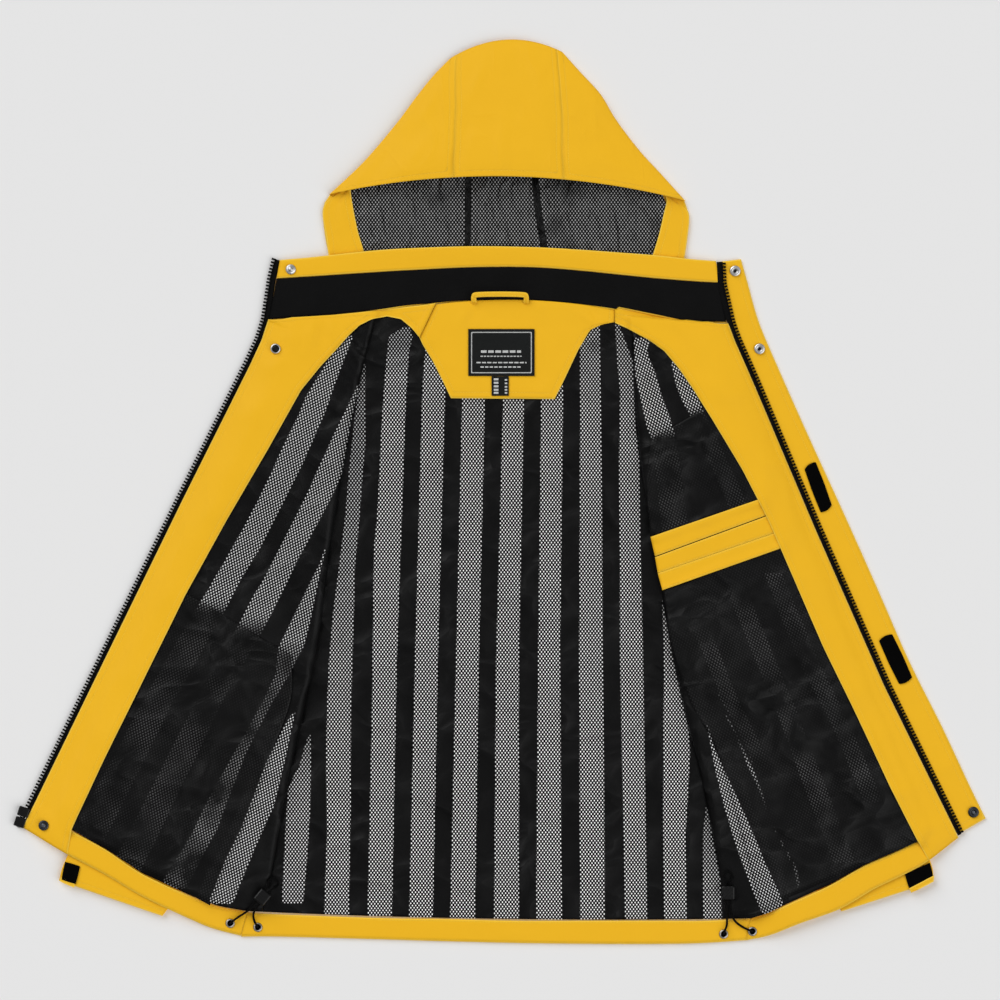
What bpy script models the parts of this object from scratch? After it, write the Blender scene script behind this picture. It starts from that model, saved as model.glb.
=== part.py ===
"""Rain jacket laid open on a flat surface, its lining side up.

Every cloth piece is an open sheet with a Solidify wall. A sheet is laid out from a
short table: one row for each section, in millimetres, with named columns.
x runs to the viewer's right, y from the hem to the hood, z up from the surface.
"""
import math
from types import SimpleNamespace

import bpy
import bmesh
import numpy as np
from mathutils import Vector
from mathutils.bvhtree import BVHTree

MM = 0.001                 # the tables are in millimetres, the model in metres

# ---- driving dimensions (mm) --------------------------------------------------------
SHELL = 1.2                # coated shell cloth, as a wall
LINING = 1.0               # lining, facing and net walls
GAP = 0.3                  # between pieces that touch or are sewn together
TUCK = 3.0                 # how far one piece runs in under another's edge
HEM_WALL = 2.4             # hem, a cloth turned up and stitched: two walls
FLAP_WALL = 1.6            # storm flap, two cloths pressed flat
TAPE_WIDTH = 7.6           # zip tape that shows past the cloth
TAPE_WALL = 1.2
CORD_DIAMETER = 2.4        # hem drawcord
SLIDER_PIVOT_Z = 1.75      # height of the pull's bar above the surface
LINING_Z = SHELL + GAP     # where the lining level starts above a panel's underside
LINING_TOP = LINING_Z + LINING
FRONT_SHARES = (0, .07, .15, .24, .33, .45, .58, .70, .80, .90, 1.0)   # columns of a front
ZIP_RISE = 42.0            # across a front, from the zip edge up to the level over the sleeve
ROLL_FALL = 34.0           # from that level to the rolled edge
ROLL_RADIUS = 7.0          # largest radius of the rolled edge
ROLL_TURNS = (30, 60, 90)  # degrees turned at each column of the rolled edge
HEM_PULL_ROWS = 5          # rows of a front over which it is drawn to the hem's edge
RIPPLE_HEIGHT = 1.1        # soft ripples of the back lining
RIPPLE_LENGTH = 17.0
HEM_LIFT = 7.2             # the hem under a front lies over the sleeve's end
HOOD_EDGE_RISE = 6.0       # largest height of the hood's rolled side edge
HOOD_FOLD_HEIGHT = 1.6     # soft folds of the hood's net
HOOD_FOLD_TURNS = 26.0     # radians of fold across the net
HOOD_JOIN = 2.2            # the lower cloth's edge from the upper cloth's side
COLLAR_FOOT = 0.012        # share of the collar's height left open along the neck seam
BAND_FOOT = 0.03           # the same for the inner band, clear of the linings
COLLAR_SEAM = 0.004        # half the seam between the band and the turned top


def table(columns, *rows):
    """Rows of numbers with named columns."""
    names = columns.split()
    return [SimpleNamespace(**dict(zip(names, row))) for row in rows]


# fronts, hem to neckline: zip edge, folded edge, sag of the section between them,
# height of the cloth over the sleeve, height of the rolled edge
FRONT_LEFT = table(
    "zip_x zip_y fold_x fold_y bow plateau roll",
    (-510, -342, -260, -454, 23.1, 7.2, 3.4),
    (-477, -274, -246, -394, 15.4, 7.6, 7.5),
    (-440, -196, -231, -311, 8.8, 7.8, 10),
    (-402, -117, -212, -229, 4.4, 8, 11.5),
    (-363, -37, -199, -163, 0, 8.6, 12),
    (-330, 31, -190, -91, 0, 9.4, 12),
    (-301, 88, -180, -20, 0, 9.4, 11.5),
    (-275, 139, -165, 70, 0, 8.5, 10),
    (-262, 167, -152, 129, 0, 6, 7.5),
    (-255, 186.5, -136, 195.5, 0, 4, 4.5),
)

FRONT_RIGHT = table(
    "zip_x zip_y fold_x fold_y bow plateau roll",
    (488, -351, 250, -455, 24.2, 7.2, 3.4),
    (457, -284, 238, -394, 15.4, 7.6, 7),
    (422, -213, 223, -322, 8.8, 7.8, 9),
    (387, -132, 206, -256, 4.4, 8, 10.5),
    (352, -53, 187, -168, 0, 8.6, 11),
    (321, 20, 174, -91, 0, 9.4, 11.5),
    (292, 87, 157, 13, 0, 9.4, 11),
    (271, 136, 150, 79, 0, 8.5, 9.5),
    (258, 165, 147, 129, 0, 6, 7.5),
    (251, 183, 144, 189.5, 1.5, 4, 4.5),
)

# back, hem to neckline
BACK = table(
    "left_x left_y right_x right_y bow",
    (-275, -461, 273, -469, 4.4),
    (-262, -394, 253, -394, 1.1),
    (-244, -317, 234, -317, 0),
    (-223, -229, 213, -229, 0),
    (-211, -130, 196, -130, 0),
    (-196, -31, 177, -31, 0),
    (-182, 68, 165, 68, 0),
    (-165, 140, 161, 140, -5.5),
    (-152, 193, 157, 193, -16.5),
)

# back neck facing, neckline down
NECK_FACING = table(
    "left_x left_y right_x right_y",
    (-72, 206, 127, 200),
    (-77, 196, 127.5, 193.5),
    (-83, 184, 127, 187),
    (-89, 171, 112, 184),
    (-85, 162, 99, 178),
    (-74, 144, 86, 156),
    (-63, 122, 70, 122),
    (-54, 103, 60, 102),
)

# front facings: the edge along hem, zip and neck, and the inner edge
FACING_LEFT = table(
    "out_x out_y in_x in_y",
    (-524, -369, -475, -398),
    (-509, -340, -470, -370),
    (-471, -260, -436, -297),
    (-427, -169, -389, -202),
    (-383, -78, -344, -111),
    (-339, 13, -301, -33),
    (-301, 86, -255, 46),
    (-275, 139, -218, 112),
    (-262, 167, -196, 139),
    (-255, 189, -180, 156),
    (-220, 191, -166, 172),
    (-185, 193, -154, 183),
    (-154, 196, -140, 190),
    (-129, 199, -124, 193),
    (-105, 202, -109, 190),
    (-87, 204, -97, 180),
    (-73.5, 206, -91.5, 171),
)

FACING_RIGHT = table(
    "out_x out_y in_x in_y",
    (503, -380, 471, -405),
    (491, -353, 457, -381),
    (460, -292, 429, -326),
    (422, -213, 393, -249),
    (387, -132, 354, -169),
    (352, -53, 319, -88),
    (327, 6, 295, -33),
    (299, 70, 266, 24),
    (276, 123, 233, 79),
    (265, 151, 211, 114),
    (256, 172, 196, 136),
    (251, 185, 180, 155),
    (222, 185, 163, 167),
    (189, 189, 150, 174),
    (160, 195, 139, 180),
    (128, 200, 128, 185),
)

# collar, left to right: foot seam, the line where the band ends, top edge
COLLAR = table(
    "foot_x foot_y turn_x turn_y top_x top_y foot_z top_z",
    (-254, 188, -247, 235, -242, 255, 0, 0.5),
    (-209, 191, -207, 237, -207, 258, 2.4, 3.4),
    (-162, 195, -162, 240, -162, 263, 4.6, 4.9),
    (-130, 199, -130, 242, -130, 266, 4.4, 4.9),
    (-95, 204, -95, 244, -95, 268, 1.4, 4.9),
    (-31, 209, -31, 247, -31, 270, 0, 4.9),
    (36, 209, 36, 247, 36, 269, 0, 4.9),
    (91, 208, 91, 243, 91, 266, 1, 4.9),
    (128, 202, 130, 239, 132, 263, 4.0, 4.9),
    (167, 194, 169, 235, 172, 260, 4.6, 4.9),
    (209, 186, 209, 232, 209, 256, 2.4, 3.4),
    (249, 185, 239.6, 230, 237.4, 254, 0, 0.5),
)

# storm flap, top to hem: edge along the zip and free edge
STORM_FLAP = table(
    "in_x in_y out_x out_y",
    (240, 253, 265, 256),
    (241, 229, 272, 231),
    (252, 185, 285, 186),
    (277, 123, 307, 134),
    (310, 44, 339, 62),
    (346, -40, 377, -21),
    (385, -127, 415, -106),
    (423, -213, 450, -186),
    (458, -286, 486, -258),
    (488, -348, 515, -320),
    (505, -377, 534, -359),
)

# hem, left to right in three pieces: lower edge and stitched edge
HEM_LEFT = table(
    "low_x low_y in_x in_y",
    (-524, -369, -510, -343),
    (-501, -383, -490, -359),
    (-475, -398, -468, -373),
    (-432, -421, -432, -393),
    (-393, -444, -393, -419),
    (-341, -469, -339, -444),
    (-315, -480, -310, -455),
    (-285, -488, -278, -461),
)

HEM_BACK = table(
    "low_x low_y in_x in_y",
    (-284, -489, -277, -462),
    (-242, -489, -242, -464),
    (-130, -492, -130, -468),
    (-62, -494, -62, -469),
    (21, -496, 21, -471),
    (112, -497, 112, -471),
    (180, -497, 180, -471),
    (224, -496, 224, -471),
    (270, -493, 274, -469),
)

HEM_RIGHT = table(
    "low_x low_y in_x in_y",
    (271, -493, 275, -469),
    (297, -487, 294, -463),
    (329, -474, 317, -452),
    (373, -458, 361, -432),
    (411, -436, 400, -410),
    (444, -420, 436, -394),
    (471, -405, 459, -381),
    (503, -380, 490, -352),
)

# sleeves, armhole to cuff: the two folded edges of the flattened tube and its height
SLEEVE_LEFT = table(
    "crown_x crown_y arm_x arm_y height",
    (-186, 75, -217, -172, 8),
    (-231, 33, -239, -218, 7.4),
    (-286, -42, -262, -267, 6.6),
    (-343, -146, -290, -328, 6.2),
    (-396, -245, -321, -388, 6),
    (-442, -333, -349, -436, 6),
    (-477, -403, -365, -458, 6),
    (-485, -427, -371, -466, 5.8),
)

SLEEVE_RIGHT = table(
    "crown_x crown_y arm_x arm_y height",
    (169, 75, 207, -172, 8),
    (220, 33, 233, -218, 7.4),
    (277, -42, 262, -267, 6.6),
    (337, -146, 293, -328, 6.2),
    (392, -245, 321, -388, 6),
    (440, -333, 346, -436, 6),
    (472, -403, 370, -452, 6),
    (477, -428, 375, -461, 5.8),
)

# pocket bags, top to bottom: edge under the facing and edge toward the fold
BAG_LEFT = table(
    "out_x out_y in_x in_y",
    (-345, -110, -229, -179),
    (-365, -152, -230, -229),
    (-404, -222, -255, -297),
    (-429, -277, -277, -355),
    (-460, -339, -302, -410),
    (-470, -365, -317, -450),
)

BAG_UPPER = table(
    "out_x out_y in_x in_y",
    (227, 94, 165, 57),
    (256, 46, 161, 8),
    (287, -10, 165, -52),
)

BAG_LOWER = table(
    "out_x out_y in_x in_y",
    (310, -59, 179, -107),
    (336, -119, 189, -172),
    (366, -189, 209, -229),
    (399, -255, 238, -284),
    (432, -324, 262, -361),
    (459, -377, 286, -452),
)

# the four lines that bound the three welts, top to bottom
WELTS = table(
    "right_x right_y left_x left_y",
    (283, -7, 165, -49),
    (292, -25, 170, -71),
    (301, -44, 173, -89),
    (308, -61, 178, -108),
)

# hood's upper cloth, brim to crown: its sides, sag, the two seams as shares, arch height
HOOD_TOP = table(
    "left_x left_y right_x right_y bow seam_left seam_right height",
    (-189, 327, 205, 320, -22, 0.346, 0.662, 24),
    (-162, 352, 176, 352, -16.5, 0.322, 0.69, 23),
    (-141, 374, 154, 376, -13.2, 0.3, 0.72, 21),
    (-112, 409, 129, 409, -9.9, 0.247, 0.763, 17),
    (-95, 432, 112, 437, -8.8, 0.2, 0.8, 14),
    (-75, 457, 90, 461, -11, 0.13, 0.87, 10),
    (-56, 476, 70, 483, -17.6, 0.04, 0.96, 5),
)

# hood's lower cloth up to the brim, and its net lining, collar to crown
HOOD_BACK = table(
    "left_x left_y right_x right_y bow",
    (-173, 235, 188, 232, 0),
    (-188, 261, 202, 256, 0),
    (-195, 303, 208, 299, 0),
    (-193, 318, 206, 311, 0),
)

HOOD_LINING = table(
    "left_x left_y right_x right_y bow",
    (-170, 251, 190, 249, 0),
    (-176, 277, 196, 277, 0),
    (-180, 316, 198, 315, 0),
    (-147, 354, 163, 354, -11),
    (-127, 376, 141, 378, -11),
    (-99, 409, 116, 409, -8.8),
    (-82, 431, 100, 435, -8.8),
)

# the shell turned in along the hood's sides
HOOD_EDGE_LEFT = table(
    "out_x out_y in_x in_y",
    (-187, 256, -148, 256),
    (-189, 263, -150, 266),
    (-191, 280, -156, 286),
    (-195, 304, -161, 310),
    (-192, 317, -164, 330),
    (-180, 327, -162, 337),
)

HOOD_EDGE_RIGHT = table(
    "out_x out_y in_x in_y",
    (201, 252, 166, 255),
    (203, 259, 169, 264),
    (206, 280, 175, 284),
    (208, 299, 180, 306),
    (205, 310, 183, 320),
    (191, 320, 181, 329),
)

# ---- small pieces (mm) ------------------------------------------------------------------
ZIP_LINE_LEFT = table("x y", (-526, -372), (-436, -187), (-349, -9), (-275, 139), (-262, 167),
                      (-255, 189), (-248, 235), (-243, 255))
ZIP_LINE_RIGHT = table("x y", (504, -380), (422, -213), (346, -40), (277, 123), (258, 166),
                       (251, 185), (241, 229), (240, 253))
TAPE_START = {"left": -344.0, "right": -378.0}   # the left tape ends at the slider
LABEL = (-34.8, 38.0, 127.4, 179.3)           # left, right, lower, upper
SIZE_TAB = (-9.2, 9.7, 105.6, 127.4)
LOOP = SimpleNamespace(half=28.6, foot_y=208.0, bar_y=216.6, half_wide=2.9, half_wall=1.2)
PATCH_UPPER = ((352.6, -23.1), (365.2, -14.9), (347.1, 33.6), (334.4, 25.3))
PATCH_LOWER = ((438.9, -211.9), (453.6, -204.1), (431.2, -155.7), (416.2, -163.4))
CUFF_PATCH = {"left": ((-482, -426), (-466, -431), (-461, -411), (-478, -406)),
              "right": ((450, -435), (474, -421), (470, -410), (446, -423))}
CUFF_TAB = {"left": ((-480, -439), (-462, -446), (-463, -433.5), (-483, -427)),
            "right": ((453, -446), (475, -434), (475.5, -424), (451, -438))}
SNAPS_LEFT = ((-229.9, 244.6, ["collar_top"]), (-246.4, 157.3, ["facing_left"]),
              (-501.0, -366.0, ["facing_left"]))
SNAPS_RIGHT = ((258.5, 243.0, ["storm_flap", "zip_tape_right"]), (285.3, 157.3, ["storm_flap"]),
               (520.5, -352.0, ["storm_flap"]))
EYELETS = ((-296.6, -474.1, "hem_left"), (-266.2, -478.5, "hem_back"),
           (245.9, -486.0, "hem_back"), (277.5, -483.0, "hem_right"))
CORD_LOCKS = {"left": (-260.7, -444.4, -39.0), "right": (250.3, -439.5, 0.0)}   # x, y, heading
LOCK_SIZE = (14.0, 15.0, 8.0)
LOCK_BEVEL = 1.6
LOCK_SLOT = (8.6, 30.0, 3.4)
# each drawcord: out of one eyelet, through the lock, round its end and back down.
# lift is above the cloth; seat 1 is inside the lock
CORD_ROUTE = {
    "left": table("x y lift seat", (-296.6, -474.1, -0.7, 0), (-296.0, -473.6, 1.1, 0),
                  (-292.6, -470.6, 2.9, 0), (-286.5, -466.4, 0.9, 0), (-277.5, -460.2, 0.4, 0),
                  (-270.2, -452.1, 0.3, 1),
                  (-262.7, -442.8, 0.3, 1), (-255.2, -433.5, 0.3, 1), (-254.3, -427.6, 0.4, 0),
                  (-248.4, -424.2, 0.7, 0), (-243.6, -429.5, 0.9, 0), (-246.0, -434.2, 0.9, 0),
                  (-251.2, -436.7, 0.3, 1), (-258.7, -446.0, 0.3, 1), (-266.2, -455.3, 0.3, 1),
                  (-270.6, -462.6, 0.4, 0), (-270.4, -470.0, 0.9, 0), (-268.4, -474.6, 2.9, 0),
                  (-266.5, -478.0, 1.1, 0), (-266.2, -478.5, -0.7, 0)),
    "right": table("x y lift seat", (245.9, -486.0, -0.7, 0), (246.1, -485.3, 1.1, 0),
                   (247.2, -481.2, 2.9, 0), (249.4, -475.2, 0.9, 0), (249.0, -464.0, 0.4, 0),
                   (247.7, -451.5, 0.3, 1),
                   (247.7, -439.5, 0.3, 1), (247.7, -427.5, 0.3, 1), (245.2, -422.0, 0.4, 0),
                   (250.3, -416.0, 0.5, 0), (255.4, -422.0, 0.4, 0), (252.9, -427.5, 0.3, 1),
                   (252.9, -439.5, 0.3, 1), (252.9, -451.5, 0.3, 1), (254.0, -462.0, 0.4, 0),
                   (257.5, -470.5, 0.5, 0), (264.6, -476.8, 0.9, 0), (272.0, -480.6, 2.9, 0),
                   (276.8, -482.7, 1.1, 0), (277.5, -483.0, -0.7, 0)),
}
SLIDER = SimpleNamespace(x=-523.7, y=-351.4, heading=18.0, width=12.0, length=10.4, low=2.8, thick=3.2)
ZIP_BOX = SimpleNamespace(x=-527.8, y=-362.9, heading=18.0, width=11.6, length=10.6, low=2.7, thick=2.2)
PULL = SimpleNamespace(width=8.2, length=19.0, wire=1.4, drop=3.0)
LUG = SimpleNamespace(out=2.4, thick=1.4, length=3.6, low=0.35, hole=1.0)

# ---- plain surface mathematics --------------------------------------------------------
def column(rows, name):
    return np.array([getattr(row, name) for row in rows], float)


def smooth_samples(values, parameters):
    """Catmull-Rom curve through the values, read at row numbers that may be fractions."""
    values = np.asarray(values, float)
    last = len(values) - 1
    padded = np.concatenate(([2 * values[0] - values[1]], values, [2 * values[-1] - values[-2]]))
    result = []
    for parameter in parameters:
        index = min(int(parameter), last - 1)
        t = parameter - index
        a, b, c, d = padded[index:index + 4]
        result.append(0.5 * (2 * b + (c - a) * t + (2 * a - 5 * b + 4 * c - d) * t * t
                             + (3 * b - a - 3 * c + d) * t ** 3))
    return np.array(result)


def resample(rows, count, smooth=True):
    """The same table with count rows, every column carried along."""
    parameters = np.linspace(0, len(rows) - 1, count)
    columns = {}
    for name in vars(rows[0]):
        values = column(rows, name)
        if smooth:
            columns[name] = smooth_samples(values, parameters)
        else:
            columns[name] = np.interp(parameters, np.arange(len(rows)), values)
    return [SimpleNamespace(**{n: v[i] for n, v in columns.items()}) for i in range(count)]


def zip_x(side, y):
    """Where the zip line stands at a height y: every edge along the zip is read from it."""
    line = ZIP_LINE_LEFT if side == "left" else ZIP_LINE_RIGHT
    return float(np.interp(y, column(line, "y"), column(line, "x")))


def snap_to_zip(rows, side, name, reach=5.0):
    """Rows whose edge runs along the zip, with that edge set on the zip line."""
    for row in rows:
        on_line = zip_x(side, getattr(row, name + "_y"))
        if abs(getattr(row, name + "_x") - on_line) < reach:
            setattr(row, name + "_x", on_line)
    return rows


def smoothstep(value):
    t = np.clip(value, 0.0, 1.0)
    return t * t * (3 - 2 * t)


def ruled_plan(rows, left, right, fractions):
    """Plan points between two edges of a table, at the given fractions of each row."""
    points = np.zeros((len(rows), len(fractions), 2))
    for r, row in enumerate(rows):
        a = np.array([getattr(row, left + "_x"), getattr(row, left + "_y")])
        b = np.array([getattr(row, right + "_x"), getattr(row, right + "_y")])
        bow = getattr(row, "bow", 0.0)
        for c, f in enumerate(fractions):
            points[r, c] = a + (b - a) * f
            points[r, c, 1] -= bow * 4 * f * (1 - f)
    return points


def section_offset(polyline, distance):
    """A section's polyline moved out by a distance, to its upper or outer side."""
    polyline = np.asarray(polyline, float)
    steps = np.diff(polyline, axis=0)
    steps /= np.linalg.norm(steps, axis=1)[:, None]
    sides = np.stack([-steps[:, 1], steps[:, 0]], axis=1)
    moved = np.empty_like(polyline)
    moved[0] = polyline[0] + sides[0] * distance
    moved[-1] = polyline[-1] + sides[-1] * distance
    for i in range(1, len(polyline) - 1):
        middle = sides[i - 1] + sides[i]
        middle /= np.linalg.norm(middle)
        moved[i] = polyline[i] + middle * distance / max(0.5, middle @ sides[i])
    return moved


# ---- scene and pieces ----------------------------------------------------------------
def clear_scene():
    for thing in list(bpy.data.objects):
        bpy.data.objects.remove(thing, do_unlink=True)


def make_collection(name):
    old = bpy.data.collections.get(name)
    collection = old or bpy.data.collections.new(name)
    if name not in bpy.context.scene.collection.children:
        bpy.context.scene.collection.children.link(collection)
    return collection


def make_material(name, colour, roughness, metallic=0.0):
    material = bpy.data.materials.new(name)
    material.use_nodes = True
    shader = material.node_tree.nodes["Principled BSDF"]
    shader.inputs["Base Color"].default_value = (*colour, 1.0)
    shader.inputs["Roughness"].default_value = roughness
    shader.inputs["Metallic"].default_value = metallic
    return material


FINISHES = {
    "yellow shell": ((0.86, 0.47, 0.02), 0.5, 0.0),
    "black lining": ((0.012, 0.012, 0.013), 0.7, 0.0),
    "black band": ((0.01, 0.01, 0.011), 0.85, 0.0),
    "black trim": ((0.015, 0.015, 0.016), 0.55, 0.0),
    "silver metal": ((0.62, 0.62, 0.62), 0.28, 1.0),
    "dark metal": ((0.10, 0.09, 0.08), 0.35, 1.0),
}

TOPS = {}                  # each laid sheet's upper points, for what lies on it
LOCK_LEVEL = {}            # height of each cord lock's slot


def new_object(name, mesh, finish):
    thing = bpy.data.objects.new(name, mesh)
    JACKET.objects.link(thing)
    thing.data.materials.append(MATERIALS[finish].copy())
    thing.data.materials[0].name = name
    return thing


def grid_mesh(name, points):
    """An open sheet: a grid primitive whose points are moved to rows x columns x 3, in mm."""
    rows, columns = points.shape[:2]
    work = bmesh.new()
    bmesh.ops.create_grid(work, x_segments=columns - 1, y_segments=rows - 1, size=1.0)
    work.verts.ensure_lookup_table()
    for i, vertex in enumerate(work.verts):
        vertex.co = Vector(points[i // columns, i % columns]) * MM
    mesh = bpy.data.meshes.new(name)
    work.to_mesh(mesh)
    work.free()
    return mesh


def facing_up(points):
    """The grid with its columns turned round where its upper side would face down."""
    across = points[:, 1:, :2] - points[:, :-1, :2]
    along = points[1:, :, :2] - points[:-1, :, :2]
    a, b = across[:-1], along[:, :-1]
    turn = (a[..., 0] * b[..., 1] - a[..., 1] * b[..., 0]).sum()
    return points if turn > 0 else points[:, ::-1]


def sheet(name, points, wall, finish):
    """A cloth piece from its underside points; the wall grows upward."""
    points = facing_up(np.asarray(points, float))
    thing = new_object(name, grid_mesh(name, points), finish)
    solid = thing.modifiers.new("wall", "SOLIDIFY")
    solid.thickness = wall * MM
    solid.offset = 1.0
    solid.use_even_offset = True
    solid.thickness_clamp = 0.0
    thing.data.polygons.foreach_set("use_smooth", [False] * len(thing.data.polygons))
    remember_top(name, points, wall)
    return thing


def remember_top(name, points, wall):
    rows, columns = points.shape[:2]
    across = np.gradient(points, axis=1)
    along = np.gradient(points, axis=0)
    normal = np.cross(across, along)
    normal /= np.maximum(np.linalg.norm(normal, axis=2), 1e-9)[..., None]
    upper = (points + normal * wall).reshape(-1, 3)
    faces = [(r * columns + c, r * columns + c + 1, (r + 1) * columns + c + 1, (r + 1) * columns + c)
             for r in range(rows - 1) for c in range(columns - 1)]
    TOPS[name] = BVHTree.FromPolygons([Vector(p) for p in upper], faces)


def height_under(x, y, carriers, reach):
    """The highest point of the carrying pieces under a small square round x, y."""
    highest = None
    for name in carriers:
        for dx in (-reach, 0.0, reach):
            for dy in (-reach, 0.0, reach):
                hit = TOPS[name].ray_cast(Vector((x + dx, y + dy, 100.0)), Vector((0, 0, -1)))[0]
                if hit is not None and (highest is None or hit.z > highest):
                    highest = hit.z
    return highest


def laid_on(plan, carriers, gap=GAP, reach=6.0, floor=0.0, relax=1):
    """Underside points for a piece that lies on other pieces, a seam's gap above them."""
    rows, columns = plan.shape[:2]
    heights = np.full((rows, columns), floor)
    for r in range(rows):
        for c in range(columns):
            under = height_under(plan[r, c, 0], plan[r, c, 1], carriers, reach)
            if under is not None:
                heights[r, c] = max(floor, under + gap)
    for _ in range(relax):
        heights = np.maximum(heights, neighbour_mean(heights))
    return np.dstack([plan, heights])


def neighbour_mean(values):
    padded = np.pad(values, 1, mode="edge")
    return (padded[:-2, 1:-1] + padded[2:, 1:-1] + padded[1:-1, :-2] + padded[1:-1, 2:]) / 4


def strip(name, rows, left, right, columns, wall, finish, carriers, **lay):
    """A flat piece between two edges of a table, laid on what carries it."""
    plan = ruled_plan(rows, left, right, np.linspace(0, 1, columns))
    return sheet(name, laid_on(plan, carriers, **lay), wall, finish)


# ---- fronts: panels with a rolled edge over the back ------------------------------------
def front_section(row):
    """Underside of a front across one section: distance from the zip edge, and height."""
    width = math.hypot(row.fold_x - row.zip_x, row.fold_y - row.zip_y) - LINING_TOP
    back_level = LINING_TOP + GAP
    radius = min(max(0.5, row.roll - back_level), ROLL_RADIUS)
    flat = width - radius
    section = []
    for share in FRONT_SHARES:
        s = share * flat
        level = row.plateau * smoothstep(s / ZIP_RISE)
        lift = (row.roll - row.plateau) * smoothstep((s - flat + ROLL_FALL) / ROLL_FALL)
        section.append((s, level + lift))
    top = section[-1][1]
    for turn in ROLL_TURNS:
        a = math.radians(turn)
        section.append((flat + radius * math.sin(a), top - radius * (1 - math.cos(a))))
    down_to = back_level if top - radius > back_level + 0.2 else section[-1][1] - 0.2
    section.append((flat + radius, down_to))
    return section


def hem_pull(side, x, y):
    """How far a front's lowest row moves to meet its hem's inner edge."""
    edge = sorted((row.in_x, row.in_y) for row in (HEM_LEFT if side == "left" else HEM_RIGHT))
    return float(np.interp(x, [p[0] for p in edge], [p[1] for p in edge])) + 2 * GAP - y


def front_points(rows, offset, side, first_column=0):
    """The front's grid, moved out by an offset, from a column on."""
    grid = []
    pulls = None
    for number, row in enumerate(rows):
        section = section_offset(front_section(row), offset)
        width = math.hypot(row.fold_x - row.zip_x, row.fold_y - row.zip_y)
        line = []
        for s, z in section[first_column:]:
            f = s / width
            x = row.zip_x + (row.fold_x - row.zip_x) * f
            y = row.zip_y + (row.fold_y - row.zip_y) * f - row.bow * 4 * f * (1 - f)
            line.append((x, y, max(z, offset)))
        if pulls is None:
            pulls = [hem_pull(side, x, y) for x, y, z in line]
        fade = 1 - smoothstep(number / HEM_PULL_ROWS)
        grid.append([(x, y + pull * fade, z) for (x, y, z), pull in zip(line, pulls)])
    return np.array(grid)


def make_fronts():
    for side, rows in (("left", FRONT_LEFT), ("right", FRONT_RIGHT)):
        rows = snap_to_zip(resample(rows, 18), side, "zip")
        sheet(f"front_shell_{side}", front_points(rows, 0.0, side), SHELL, "yellow shell")
        sheet(f"front_lining_{side}", front_points(rows, LINING_Z, side, 2), LINING, "black lining")


def make_back():
    rows = resample(BACK, 15)
    across = np.linspace(0, 1, 13)
    plan = ruled_plan(rows, "left", "right", across)
    sheet("back_shell", np.dstack([plan, np.zeros(plan.shape[:2])]), SHELL, "yellow shell")
    ripple = np.zeros(plan.shape[:2])
    for r in range(len(rows)):
        for c, f in enumerate(across):
            inside = smoothstep((f - 0.1) / 0.2) * smoothstep((0.9 - f) / 0.2)
            inside *= smoothstep(r / 2) * smoothstep((len(rows) - 1 - r) / 4)
            ripple[r, c] = RIPPLE_HEIGHT * inside * (1 + math.sin(plan[r, c, 1] / RIPPLE_LENGTH + 2.0 * f))
    sheet("back_lining", np.dstack([plan, LINING_Z + ripple]), LINING, "black lining")


def make_hem():
    """Three bands; the outer two climb over the sleeves' ends and come down again."""
    for name, rows, count, climb, descent in (("hem_left", HEM_LEFT, 15, 45, 95),
                                              ("hem_back", HEM_BACK, 13, 0, 0),
                                              ("hem_right", HEM_RIGHT, 15, 60, 62)):
        plan = ruled_plan(resample(rows, count), "low", "in", np.array([0.0, 0.5, 0.985]))
        heights = np.zeros(plan.shape[:2])
        if climb:
            along = np.cumsum(np.linalg.norm(np.diff(plan[:, 0], axis=0), axis=1))
            along = np.concatenate(([0], along))
            lift = HEM_LIFT * smoothstep(along / climb) * smoothstep((along[-1] - along) / descent)
            heights += lift[:, None]
        sheet(name, np.dstack([plan, heights]), HEM_WALL, "yellow shell")


# ---- sleeves: flattened tubes under the fronts ---------------------------------------------
def make_sleeve(side, rows):
    rows = resample(rows, 11)
    around = 16
    outer_rings, inner_rings = [], []
    for row in rows:
        crown = np.array([row.crown_x, row.crown_y])
        arm = np.array([row.arm_x, row.arm_y])
        middle, half = (crown + arm) / 2, np.linalg.norm(arm - crown) / 2
        unit = (arm - crown) / (2 * half)
        outer_rings.append(sleeve_ring(middle, unit, half, row.height, 0.0, around))
        inner_rings.append(sleeve_ring(middle, unit, half, row.height, SHELL, around))
    rings = outer_rings + inner_rings[::-1]
    work = bmesh.new()
    grid = [[work.verts.new(Vector(p) * MM) for p in ring] for ring in rings]
    for k in range(len(grid)):
        ring, after = grid[k], grid[(k + 1) % len(grid)]
        for i in range(around):
            j = (i + 1) % around
            work.faces.new((ring[i], ring[j], after[j], after[i]))
    bmesh.ops.recalc_face_normals(work, faces=work.faces)
    mesh = bpy.data.meshes.new(f"sleeve_{side}")
    work.to_mesh(mesh)
    work.free()
    new_object(f"sleeve_{side}", mesh, "yellow shell")
    top = [[p for p in ring[:around // 2 + 1]] for ring in outer_rings]
    remember_top(f"sleeve_{side}", facing_up(np.array(top)), 0.0)


def sleeve_ring(middle, unit, half, height, inset, around):
    """A long flat ring: round at both ends, flat above and below."""
    ring = []
    radius = height / 2
    for i in range(around):
        angle = 2 * math.pi * i / around
        cosine, sine = math.cos(angle), math.sin(angle)
        along = math.copysign(abs(cosine) ** 0.75, cosine) * (half - inset)
        up = math.copysign(abs(sine) ** 0.32, sine) * (radius - inset)
        ring.append((*(middle + unit * along), radius + up))
    return ring


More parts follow.
